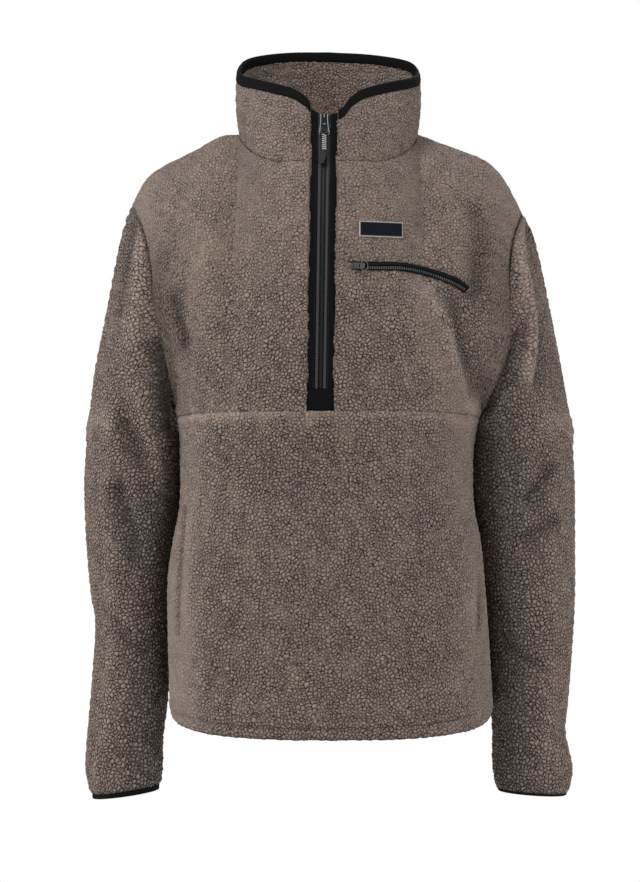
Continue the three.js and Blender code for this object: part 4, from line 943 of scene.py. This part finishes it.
def fleeceMaterial():
    # warm taupe pile, lighter and greyer at the tips; near black in the partings as painted shade, and
    # lighter on the curls' tops as painted light
    shade = Shade("sherpa pile")
    flat = shade.node("ShaderNodeUVMap", {"uv_map": "cells"}, {}, "UV")
    around = {"Vector": shade.coords(), "Scale": 520, "Detail": 1}
    curls = shade.node("ShaderNodeTexNoise", {}, around, "Color")
    moved = shade.vector("ADD", flat, (-0.275, -0.275, 0))
    place = shade.vector("MULTIPLY_ADD", curls, (0.55, 0.55, 0), moved)
    cells = {"voronoi_dimensions": "2D", "feature": "DISTANCE_TO_EDGE"}
    border = shade.node("ShaderNodeTexVoronoi", cells, {"Vector": place, "Scale": 1.0}, "Distance")
    small = shade.node("ShaderNodeTexVoronoi", cells, {"Vector": place, "Scale": 2.1}, "Distance")
    near = (border * pile["round"]).clamped()
    swell = near * (2 - near)
    curl = shade.soft(small, 0.0, 0.35)
    parting = shade.attribute("parting")
    # painted shade of seams and troughs, and painted light on ridges and combed edges, from the panel's
    # points
    edge = shade.attribute("shade")
    uneven = shade.noise(250, 2)
    fuzz = shade.noise(1100, 3, shade.vector("MULTIPLY", shade.coords(), (1, 1, 0.45)))
    mottle = shade.noise(40, 2)
    # painted shade in the partings between curls, and in smaller splits within them, broken up by the grain
    crack = (1 - shade.soft(border, 0.02, 0.2)) * parting * ((uneven - 0.38) * 4.4).clamped()
    smallPartingShade = (1 - shade.soft(small, 0.0, 0.2)) * ((0.54 - uneven) * 3).clamped() * parting
    # tone: painted shade of the partings, painted light on the curls' tops, grain and mottling, times the
    # panel's painted shade and light
    level = (0.78 - crack * 0.66 - smallPartingShade * 0.34 + (swell - 0.8) * 0.22 + (fuzz - 0.5) * 0.7
             + (mottle - 0.5) * 0.16).clamped() * edge
    body = shade.ramp(level, [(0.0, (0.006, 0.005, 0.004)), (0.3, (0.044, 0.034, 0.028)),
                              (0.6, (0.150, 0.116, 0.099)), (0.8, (0.242, 0.190, 0.165)),
                              (1.0, (0.34, 0.28, 0.25))])
    warm = shade.vector("MULTIPLY", body, (1.04, 0.97, 0.88))
    height = swell * parting * 0.7 + curl * 0.14 + fuzz * 0.2
    return shade.done(Base_Color=shade.mix(body, warm, mottle), Roughness=0.95, Sheen_Weight=0.25,
                      Sheen_Roughness=0.5, Sheen_Tint=(0.78, 0.70, 0.64), Specular_IOR_Level=0.1,
                      Normal=shade.bump(height, 0.0028, 1.0))


def ribbedMaterial(name, colour, light, pitch, roughness):
    # woven band: ribs across it every few tenths of a millimetre, read from its own running length
    shade = Shade(name)
    run = shade.attribute("run")
    rib = (run * (2 * math.pi / pitch)).sine() * 0.5 + 0.5
    grain = shade.noise(900, 2)
    tone = (rib * 0.55 + grain * 0.45).clamped()
    base = shade.mix(colour, light, tone)
    marked = shade.mix(base, tuple(4 * value for value in light), shade.attribute("stitch"))
    edged = shade.mix(marked, (0.42, 0.41, 0.39), shade.attribute("border"))
    return shade.done(Base_Color=edged, Roughness=roughness, Sheen_Weight=0.01, Sheen_Roughness=0.4,
                      Specular_IOR_Level=0.06, Normal=shade.bump(rib * 0.6 + grain * 0.4, 0.0003, 0.8))


def metalMaterial(name, colour, roughness, scratch, metallic=1.0, coat=0.0, grooveShadePitch=0):
    # cast metal with a faint grain and small scratches; the last argument is the pitch of dark bands along z,
    # painted shade between ribs
    shade = Shade(name)
    grain = shade.noise(700, 3)
    fine = shade.noise(2600, 1)
    dull = (grain * scratch + roughness).clamped()
    base = shade.mix(colour, tuple(0.7 * value for value in colour), grain)
    # dark bands across the link: painted shade between its ribs
    if grooveShadePitch:
        apart = shade.node("ShaderNodeSeparateXYZ", {}, {"Vector": shade.coords()}, "Z")
        side = shade.node("ShaderNodeSeparateXYZ", {}, {"Vector": shade.coords()}, "X")
        wave = (apart * (2000 * math.pi / grooveShadePitch) + side * 900).sine()
        base = shade.mix((0.012, 0.012, 0.014), base, shade.soft(wave, -0.1, 0.5))
    return shade.done(Base_Color=base, Metallic=metallic, Roughness=dull, Coat_Weight=coat,
                      Normal=shade.bump(fine, 0.00006, 0.5))


def plainMaterial(name, colour, light, scale, roughness, deep):
    # matte moulded or woven stuff with a fine grain
    shade = Shade(name)
    grain = shade.noise(scale, 3)
    return shade.done(Base_Color=shade.mix(colour, light, grain), Roughness=roughness,
                      Specular_IOR_Level=0.35, Normal=shade.bump(grain, deep, 0.7))


fleece = fleeceMaterial()
binding = ribbedMaterial("elastic binding", (0.002, 0.002, 0.0023), (0.008, 0.008, 0.009), 0.8, 0.8)
placketTape = ribbedMaterial("placket tape", (0.001, 0.001, 0.0013), (0.006, 0.006, 0.0072), 1.1, 0.8)
zipTape = ribbedMaterial("zip tape", (0.010, 0.0105, 0.012), (0.080, 0.083, 0.09), 1.9, 0.8)
labelCloth = ribbedMaterial("label cloth", (0.0025, 0.003, 0.0045), (0.011, 0.012, 0.017), 1.0, 0.75)
teethMaterial = metalMaterial("zip teeth", (0.016, 0.016, 0.018), 0.3, 0.2, 0.2, 0.0)
pocketTeethMaterial = metalMaterial("pocket zip teeth", (0.075, 0.076, 0.084), 0.35, 0.2, 0.4, 0.0)
blackMetal = metalMaterial("black slider enamel", (0.004, 0.004, 0.005), 0.1, 0.1, 0.0, 0.3)
# bright metal for the rods that are painted highlights on the main slider
highlightMetal = metalMaterial("slider highlight metal", (0.55, 0.56, 0.60), 0.25, 0.2)
# its dark bands are painted shade between the ribs
linkMetal = metalMaterial("ribbed pull metal", (0.7, 0.7, 0.72), 0.3, 0.2, grooveShadePitch=2.1)
darkWire = metalMaterial("dark wire", (0.16, 0.16, 0.17), 0.25, 0.2)
rubber = plainMaterial("pull rubber", (0.003, 0.003, 0.003), (0.010, 0.0095, 0.009), 1500, 0.6, 0.0001)
print("materials made")

# Fleece panels. Each entry of edges is the depth and width by which that edge sinks into its seam.

dense = np.linspace(0, 1, 400)
slotTop = collarTop(np.abs(angleAt(zipLine["slot"], zipLine["read"])))      # the binding's share at the slot


def pocketBed(grid):
    # height of the fleece under the chest pocket's band and under the label, and where it holds: 0 to 1
    x, z = grid[..., 0], grid[..., 2]
    tips = 0.7 * wobble(grid, "bed")[..., 0] + 0.5 * wobble(grid, "bedEnds")[..., 1]
    under = 1 - smooth(4.0, 5.6, pathDistance(pocket["path"], x, z) + np.clip(tips, -0.8, 1.4))
    lx = np.abs(x - label["x"]) - label["wide"] / 2
    lz = np.abs(z - label["z"] + label["tilt"] * (x - label["x"]) / label["wide"]) - label["tall"] / 2
    beneath = 1 - smooth(-1.2, 1.0, np.maximum(lx, lz))
    return np.where(under > beneath, -1.6, -0.4), np.maximum(under, beneath)


pocket = {
    "path": [(22, -133), (48, -133.5), (76, -133.5), (98, -137), (119, -142.5), (136, -149), (149, -157)],
    "below": 4.5, "above": 4.5,     # reach of the band on either side of its line
}
label = {"x": 56, "z": -94, "wide": 47, "tall": 17, "tilt": 1, "low": 0.7, "high": 1.9, "border": 1.3}


def yoke(name, node, side):
    # columns between the slot and the armhole, rows from the chest seam to the neck and the shoulder
    columns, rows = stepsFor("yoke")
    v = evenly(upperBody("front", np.full_like(dense, side * 0.5), dense), rows)
    slot = shareAt(side * zipLine["slot"], v)
    f = evenly(upperBody("front", lerp(slot[0], side, dense), np.full_like(dense, 0.3)), columns)
    if side < 0:
        f = f[::-1]
    s = lerp(slot[None], float(side), f[:, None])
    grid = upperBody("front", s, np.broadcast_to(v[None], s.shape))
    slotEdge, armEdge = ("first", "last") if side > 0 else ("last", "first")
    edges = {slotEdge: (0.3, 1.2), armEdge: (2.2, 3.0), "low": (1.0, 1.4), "high": (0.5, 1.4)}
    extra = pocketBed if side > 0 else None
    return fleecePanel(name, node, grid, edges, extra=extra, ragged={slotEdge: "placket"})


def lowerFront():
    # columns from the left side seam to the right one, rows from the hem to the chest seam
    columns, rows = stepsFor("lower")
    t = evenly(lowerBody("front", np.full_like(dense, 0.0), dense), rows)
    s = lerp(-1, 1, evenly(lowerBody("front", lerp(-1, 1, dense), np.full_like(dense, 0.5)), columns))
    grid = lowerBody("front", *np.meshgrid(s, t, indexing="ij"))
    edges = {"first": (0.7, 2.0), "last": (0.7, 2.0), "low": (2.2, 2.2), "high": (0.8, 1.6)}
    return fleecePanel("fleece_front_lower", "front_lower", grid, edges, combed="high")


def back():
    # columns from the right side seam to the left one, rows from the hem past the chest to the shoulders
    columns, lowCount, highCount = stepsFor("back")
    lowRows = evenly(lowerBody("back", np.full_like(dense, 0.0), dense), lowCount)
    highRows = evenly(upperBody("back", np.full_like(dense, 0.0), dense), highCount)
    s = lerp(1, -1, evenly(lowerBody("back", lerp(1, -1, dense), np.full_like(dense, 0.8)), columns))
    low = lowerBody("back", *np.meshgrid(s, lowRows, indexing="ij"))
    high = upperBody("back", *np.meshgrid(s, highRows[1:], indexing="ij"))
    edges = {"first": (0.8, 2.0), "last": (0.8, 2.0), "low": (2.2, 2.2), "high": (0.5, 1.4)}
    return fleecePanel("fleece_back", "back_panel", np.concatenate([low, high], axis=1), edges)


def sleevePiece(side):
    # a ring of columns that starts at the underarm, rows from the armhole to the cuff
    around, rows = stepsFor("sleeve")
    around = around - 1
    angles = (180 + np.arange(around) * 360 / around) % 360
    if side == "left":
        angles = (360 - angles) % 360
    h = evenly(sleeve(side, np.array([90.0]), dense)[0], rows)
    grid = sleeve(side, angles, h)
    edges = {"low": (2.2, 2.6), "high": (2.0, 2.4)}
    return fleecePanel("fleece_sleeve_" + side, "sleeve_" + side, grid, edges, "sleeve", ring=True)


def roundNeck(start, end, count):
    # even angles from the right side of the slot, behind the neck, to its left side; as angle and side
    phi = lerp(start, end, np.linspace(0, 1, count).reshape((count,) + (1,) * np.ndim(start)))
    return phi, np.where(phi > 180, 360 - phi, phi), np.where(phi > 180, -1, 1)


def collarPanel():
    # columns round the neck, rows from the neck seam to the binding
    columns, rows = stepsFor("collar")
    f = np.linspace(0, 1, rows)
    start, end = (angleAt(side * zipLine["slot"], f * slotTop) for side in (1, -1))
    phi, angle, side = roundNeck(start, 360 + end, columns)
    grid = collar(angle, side, f[None] * collarTop(angle))
    edges = {"first": (0.3, 1.2), "last": (0.3, 1.2), "low": (0.5, 1.4), "high": (1.0, 2.0)}
    return fleecePanel("fleece_collar", "collar", grid, edges, "collar", step=1,
                       ragged={"first": "placket", "last": "placket"})


panels = {
    "yokeRight": yoke("fleece_front_right", "front_yoke_right", 1),
    "yokeLeft": yoke("fleece_front_left", "front_yoke_left", -1),
    "lower": lowerFront(),
    "back": back(),
    "sleeveRight": sleevePiece("right"),
    "sleeveLeft": sleevePiece("left"),
    "collar": collarPanel(),
}

# Bindings

# outline of the collar's: outwards, and up from the fleece's upper edge
collarOutline = np.array([
    (0.2, -1.0), (0.55, 0.2), (0.75, 1.8), (0.5, 3.4), (0.6, 5.5), (0.4, 7.5), (-0.4, 9.1), (-1.5, 10.1),
    (-2.9, 10.1), (-4.0, 9.1), (-4.7, 7.5), (-5.0, 5), (-5.1, 2), (-5.2, -1.0), (-4.2, -1.0), (-3.9, 7.2),
    (-2.2, 8.9), (-0.6, 7.2), (-0.6, -1.0)])
bindingEnd = 1.2            # from the slot's side to the binding's end
cuffHeight = 9.4            # of a cuff's band
cuffLow = {"right": 2.6, "left": 5.6}       # how far it shows below the fleece's edge


def collarBinding():
    # a flat elastic band folded over the rim: its outline carried round the neck, slightly rippled
    start = float(angleAt(zipLine["slot"] + bindingEnd, slotTop))
    end = 360 + float(angleAt(-zipLine["slot"] - bindingEnd, slotTop))
    phi, angle, side = roundNeck(start, end, 361)
    low = collar(angle, side, collarTop(angle))
    up = unit(collar(angle, side, np.ones_like(angle)) - low)
    outwards = vec(side * np.sin(np.radians(angle)), -np.cos(np.radians(angle)), 0)
    ripple = 0.12 * np.sin(phi * 2.1) + 0.1 * np.sin(phi * 0.9 + 1)
    sections = (low[:, None] + outwards[:, None] * (collarOutline[None, :, :1] + ripple[:, None, None])
                + up[:, None] * collarOutline[None, :, 1:])
    return tube("collar_band", sections, False, {"run": runLength(low)[:, None]}, binding)


def cuffBand(side):
    # narrow elastic band inside the cuff's edge: its outline carried round, inwards and up
    around = 144
    angles = np.arange(around) * 360 / around
    if side == "left":
        angles = angles[::-1]
    edge = sleeve(side, angles, np.array([0.97, 1.0]))[:, 1]
    inwards = unit(edge.mean(axis=0) - edge)
    low = cuffLow[side]
    high = cuffHeight - low
    outline = np.array([(2.1, high), (3.1, high + 0.2), (4.2, high), (4.3, 0), (4.2, 0.6 - low),
                        (3.3, -low - 0.2), (2.4, 0.6 - low), (2.1, 0)])
    upwards = np.array([0, 0, 1.0]) * outline[None, :, 1:]
    sections = edge[:, None] + inwards[:, None] * outline[None, :, :1] + upwards
    return tube("cuff_band_" + side, sections, True, {"run": runLength(edge)[:, None]}, binding)


bands = {"collar": collarBinding(), "right": cuffBand("right"), "left": cuffBand("left")}
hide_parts("collar_binding")
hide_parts("cuff_binding_right")
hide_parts("cuff_binding_left")
print("bindings made")

# Half zip

# reach across from the zip's middle, then how far face and back lie below the fleece's form
strips = {
    "patch": {"from": -14.2, "to": 14.2, "high": 1, "deep": 3.4},
    "placket": {"from": 6.5, "to": 14.2, "high": 1, "deep": 3.2, "stitch": 7.4},
    "tape": {"from": 2.7, "to": 6.2, "high": 2, "deep": 3.4},
    "bed": {"from": -2.4, "to": 2.4, "high": 2.9, "deep": 4},
    "gapShare": 0.0016,     # open share of the front between the patch and its neighbours
}
# pitch, first place, length left free at the end, two heights, and the outline with its narrowing
teeth = {
    "zip": {"pitch": 1.5, "start": 1.5, "end": 1.5, "heights": (-2.9, -1.3), "narrow": 0.88,
            "outline": ((2.3, -0.65), (2.3, 0.65), (-0.9, 0.5), (-0.9, -0.5))},
    "pocket": {"pitch": 2.5, "start": 1.2, "end": 1, "heights": (0.8, 2.6), "narrow": 0.85,
               "outline": ((2.5, -0.62), (2.5, 0.62), (-0.9, 0.5), (-0.9, -0.5))},
    "faces": [(0, 1, 2, 3), (7, 6, 5, 4), (0, 4, 5, 1), (1, 5, 6, 2), (2, 6, 7, 3), (3, 7, 4, 0)],
}


def patchShare():
    # share of the upper front at which the closing patch ends
    v = np.linspace(0, 0.2, 400)
    z = upperBody("front", shareAt(0, v), v)[:, 2]
    return float(np.interp(z[0] + zipLine["patch"], z, v))


patchTop = patchShare()
zipV = np.linspace(patchTop + strips["gapShare"], 1, 180)
zipW = np.linspace(0, zipLine["top"], 34)[1:]
patchV = np.linspace(strips["gapShare"], patchTop, 18)


def strip(name, node, size, side, v, w, material, columns=9):
    # thin shell over the opening, with edges rounded over and stitches marked near its inner edge
    d = np.linspace(size["from"], size["to"], columns)
    across = side * d if side > 0 else (side * d)[::-1]
    grid = opening(across, v, w)
    normals = gridNormals(grid)
    beyond = size["to"] - np.abs(across)
    away = np.minimum(np.abs(across) - size["from"], beyond) if size["from"] > 0 else beyond
    roundOver = 0.6 * np.exp(-(away / 0.5) ** 2)
    run = runLength(grid[columns // 2])
    stitch = np.zeros(grid.shape[:2])
    if "stitch" in size:
        near = np.exp(-((np.abs(across) - size["stitch"]) / 0.45) ** 2)
        dash = (np.sin(run * 2 * math.pi / 3) > -0.2).astype(float)
        stitch = near[:, None] * dash[None] * 0.5
    outer = grid - normals * (size["high"] + roundOver)[:, None, None]
    inner = grid - normals * size["deep"]
    runs = np.broadcast_to(run[None], grid.shape[:2])
    piece = shell(name, outer, inner, False, {"run": (runs, runs), "stitch": (stitch, stitch * 0)}, material)
    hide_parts(node)
    return piece


def toothRow(name, tooth, line, normals, hands, material):
    # one tooth at every pitch of running length along a line, set across it on the side that hands gives
    run = runLength(line)
    at = np.arange(tooth["start"], run[-1] - tooth["end"], tooth["pitch"])
    sample = lambda values: np.stack([np.interp(at, run, values[:, k]) for k in range(3)], axis=-1)
    place, out = sample(line), unit(sample(normals))
    ahead = unit(sample(np.gradient(line, axis=0)))
    across = unit(np.cross(ahead, out))
    hand = hands(across)[:, None]
    box = np.array([(x, y, z) for z in tooth["heights"] for x, y in tooth["outline"]])
    box[4:, :2] *= tooth["narrow"]
    axes = np.stack([across * hand, ahead * hand, out], axis=1)
    return copies(name, box, teeth["faces"], place, axes, material)


def zipTeeth():
    # two rows of moulded teeth that mesh across the zip's middle
    v, w = np.linspace(zipV[0], 1, 600), np.linspace(0, zipLine["top"], 120)[1:]
    lines = opening(np.array([-1.0, 0.0, 1.0]), v, w)
    byTurns = lambda across: np.where(np.arange(len(across)) % 2 == 0, 1.0, -1.0)
    return toothRow("zip_teeth", teeth["zip"], lines[1], gridNormals(lines)[1], byTurns, teethMaterial)


halfZip = [strip("placket_patch", "placket_end", strips["patch"], 1, patchV, np.array([]), placketTape,
                 21)]
for name, side in (("right", 1), ("left", -1)):
    halfZip.append(strip("placket_" + name, "placket_strip_" + name, strips["placket"], side, zipV, zipW,
                         placketTape))
    halfZip.append(strip("tape_" + name, "zip_tape_" + name, strips["tape"], side, zipV, zipW, zipTape,
                         5))
strip("zip_bed", "zip_chain", strips["bed"], 1, zipV, zipW, placketTape, 5)    # below the teeth
zipRow = zipTeeth()
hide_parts("zip_chain")
print("half zip made")

# Chest pocket

def pocketPlaces(share, offset):
    # x and z on the pocket's line, moved across it
    line = np.array(pocket["path"], float)
    middle = alongPoints(line, share)
    ahead = unit(alongPoints(line, share + 0.02) - alongPoints(line, share - 0.02))
    return middle[..., 0] - ahead[..., 1] * offset, middle[..., 1] + ahead[..., 0] * offset


def pocketGrid(share, offset, lift):
    # points over the pocket's line, lifted off the front, and the front's normals there
    x, z = pocketPlaces(share[:, None] + 0 * offset[None], offset[None] + 0 * share[:, None])
    points, normals = frontAt(x, z)
    return points + normals * lift[..., None], normals


def pocketBand():
    # band of tape with a welt: a lip rises over the upper half and rounds over at the edge
    share = np.linspace(0.02, 1, 110)
    offset = np.linspace(-pocket["below"], pocket["above"], 15)
    away = np.minimum(offset + pocket["below"], pocket["above"] - offset)
    lips = 0.8 + 0.3 * smooth(0, 1.0, away) + 1.5 * smooth(-0.4, 0.8, offset) * smooth(-0.3, 1.2, away)
    lift = lips[None] * np.ones((len(share), 1))
    outer = pocketGrid(share, offset, lift)[0]
    inner = pocketGrid(share, offset, np.full(lift.shape, 0.6))[0]
    runs = np.broadcast_to(runLength(outer[:, 7])[:, None], lift.shape)
    stitch = np.broadcast_to(0.5 * np.exp(-((offset - 2.2) / 0.5) ** 2)[None], lift.shape)
    piece = shell("pocket_welt", outer, inner, False,
                  {"run": (runs, runs), "stitch": (stitch, stitch * 0)}, placketTape)
    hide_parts("pocket_tape")
    return piece


def pocketTeeth():
    # one row of teeth below the welt, all set towards the band's lower edge
    share = np.linspace(0.12, 0.985, 500)
    points, normals = pocketGrid(share, np.array([-2.6, -1.3, 0.0]), np.zeros((500, 3)))
    oneWay = lambda across: np.full(len(across), -np.sign(across[0, 2]))
    piece = toothRow("pocket_teeth", teeth["pocket"], points[:, 1], normals[:, 1], oneWay,
                     pocketTeethMaterial)
    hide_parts("pocket_chain")
    return piece


pocketPieces = [pocketBand(), pocketTeeth()]


def labelPatch():
    # dark woven patch with a pale border, bare of any lettering
    columns, rows = 61, 25
    u, t = np.meshgrid(np.linspace(-0.5, 0.5, columns), np.linspace(-0.5, 0.5, rows), indexing="ij")
    x = label["x"] + label["wide"] * u
    z = label["z"] + label["tall"] * t - label["tilt"] * u
    points, normals = frontAt(x, z)
    away = np.minimum(label["wide"] * (0.5 - np.abs(u)), label["tall"] * (0.5 - np.abs(t)))
    lift = label["high"] - 0.5 * np.exp(-(away / 0.4) ** 2) + 0.15 * np.exp(-((away - 0.8) / 0.5) ** 2)
    border = 1 - smooth(label["border"] - 0.2, label["border"] + 0.2, away)
    run = label["tall"] * (t + 0.5)
    outer, inner = (points + normals * height for height in (lift[..., None], label["low"]))
    piece = shell("label", outer, inner, False,
                  {"run": (run, run), "border": (border * 0.8, border * 0.8)}, labelCloth)
    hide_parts("label_patch")
    return piece


labelPiece = labelPatch()
print("pocket and label made")

# Metal and rubber of the pulls keep the frame's shapes

for nodeName, material in (("zip_slider", blackMetal), ("pocket_slider", blackMetal), ("pull_ring", darkWire),
                           ("pull_link", linkMetal), ("pull_tab", rubber), ("pocket_ring", darkWire)):
    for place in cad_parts[nodeName].material_slots:
        place.material = material

# bright rods put on the main slider's edges, top and bridge as painted highlights: half width of a rod, its
# faces, and the two ends of each rod
highlightRods = {
    "wide": 0.42,
    "faces": [(3, 2, 1, 0), (4, 5, 6, 7), (0, 1, 5, 4), (1, 2, 6, 5), (2, 3, 7, 6), (3, 0, 4, 7)],
    "rods": [((-8.1, -82.7, 31.4), (-8.2, -83.6, 24)), ((-8.2, -83.6, 24), (-8.7, -84.2, 17.5)),
             ((-8.7, -84.2, 17.5), (-9.9, -85.3, 11.4)), ((-1.0, -82.7, 31.4), (-0.8, -83.6, 24)),
             ((-0.8, -83.6, 24), (-0.3, -84.2, 17.5)), ((-0.3, -84.2, 17.5), (0.9, -85.3, 11.4)),
             ((-4.5, -82.5, 31.6), (-4.5, -83.2, 27.6)), ((-5.9, -88.0, 20.1), (-3.1, -88.0, 20.1))],
}


def sliderHighlightRods():
    # bright rods on the main slider's edges, top and bridge, as painted highlights: thin four-sided rods
    # between pairs of points
    ends = np.array(highlightRods["rods"], float)
    ahead = (ends[:, 1] - ends[:, 0]) / 2
    side = unit(np.cross(ahead, (0, 1, 0.02))) * highlightRods["wide"]
    out = unit(np.cross(side, ahead)) * highlightRods["wide"]
    box = np.array([(x, y, z) for z in (-1, 1) for x, y in ((-1, -1), (1, -1), (1, 1), (-1, 1))], float)
    axes = np.stack([side, out, ahead], axis=1)
    return copies("slider_highlight_rods", box, highlightRods["faces"], ends.mean(axis=1), axes, highlightMetal)


sliderHighlightRods()

# Floor, light and camera

ground = {"radius": 2500, "z": -1400, "thick": 20, "sides": 96}
# name, place, point that it is turned to, size in metres, power in watts
lights = [
    ("key", (-1.2, -1.5, 1.35), (0, 0, -0.2), 0.8, 47),
    ("fill", (1.5, -2.3, 0.3), (0, 0, -0.3), 1.4, 23),
    ("left edge", (-2.2, -0.2, -0.3), (0, 0, -0.4), 1.4, 20),
    ("right edge", (2.2, -0.2, -0.3), (0, 0, -0.4), 1.4, 17),
    ("behind", (0.8, 2.4, 1.3), (0, 0, -0.3), 1.6, 40),
]
white = {"To Min": 0.32, "To Max": 1.0}     # strength of the surroundings as a light, and to the camera
lens = {"length": 129.87, "sensor": 36, "place": (-0.009, -3.5, -0.32)}


def floorDisc():
    # flat disc with a thin edge, well below the garment
    sides, z, thick = ground["sides"], ground["z"], ground["thick"]
    angle = np.linspace(0, 2 * math.pi, sides + 1)[:-1]
    ring = vec(ground["radius"] * np.cos(angle), ground["radius"] * np.sin(angle), z)
    points = np.concatenate([ring, ring - [0, 0, thick], [[0, 0, z], [0, 0, z - thick]]])
    k = np.arange(sides)
    n = (k + 1) % sides
    quads = np.stack([k + sides, n + sides, n, k], axis=-1)
    upper = np.stack([k * 0 + 2 * sides, k, n], axis=-1)
    under = np.stack([k * 0 + 2 * sides + 1, n + sides, k + sides], axis=-1)
    mesh = bpy.data.meshes.new("floor")
    mesh.from_pydata((points * mm).tolist(), [], quads.tolist() + upper.tolist() + under.tolist())
    shade = Shade("pale floor")
    tone = shade.mix((0.80, 0.80, 0.79), (0.84, 0.84, 0.83), shade.noise(2, 2))
    mesh.materials.append(shade.done(Base_Color=tone, Roughness=0.6))
    disc = bpy.data.objects.new("floor", mesh)
    bpy.context.scene.collection.objects.link(disc)


def softLight(name, place, target, size, power):
    # round lamp turned to the target: down by the angle of its fall, round by that of its way across
    data = bpy.data.lights.new(name, "AREA")
    data.shape = "DISK"
    data.size = size
    data.energy = power
    lamp = bpy.data.objects.new(name, data)
    bpy.context.scene.collection.objects.link(lamp)
    lamp.location = place
    aim = np.array(target) - np.array(place)
    tilt = math.atan2(math.hypot(aim[0], aim[1]), -aim[2])
    lamp.rotation_euler = (tilt, 0, math.atan2(aim[0], -aim[1]) + math.pi)


def studio():
    # white to the camera, softer as a light
    world = bpy.data.worlds.new("studio")
    bpy.context.scene.world = world
    world.use_nodes = True
    nodes, links = world.node_tree.nodes, world.node_tree.links
    background = nodes["Background"]
    background.inputs["Color"].default_value = (1, 1, 1, 1)
    path = nodes.new("ShaderNodeLightPath")
    strength = nodes.new("ShaderNodeMapRange")
    for socket, value in white.items():
        strength.inputs[socket].default_value = value
    links.new(path.outputs["Is Camera Ray"], strength.inputs["Value"])
    links.new(strength.outputs["Result"], background.inputs["Strength"])
    for light in lights:
        softLight(*light)
    bpy.context.scene.view_settings.view_transform = "Standard"


def cameraAt():
    # level view along +Y from in front of the garment
    data = bpy.data.cameras.new("camera")
    data.lens = lens["length"]
    data.sensor_width = lens["sensor"]
    data.dof.use_dof = False
    camera = bpy.data.objects.new("camera", data)
    bpy.context.scene.collection.objects.link(camera)
    camera.location = lens["place"]
    camera.rotation_euler = (math.pi / 2, 0, 0)
    bpy.context.scene.camera = camera


floorDisc()
studio()
cameraAt()
print("floor, light and camera set")
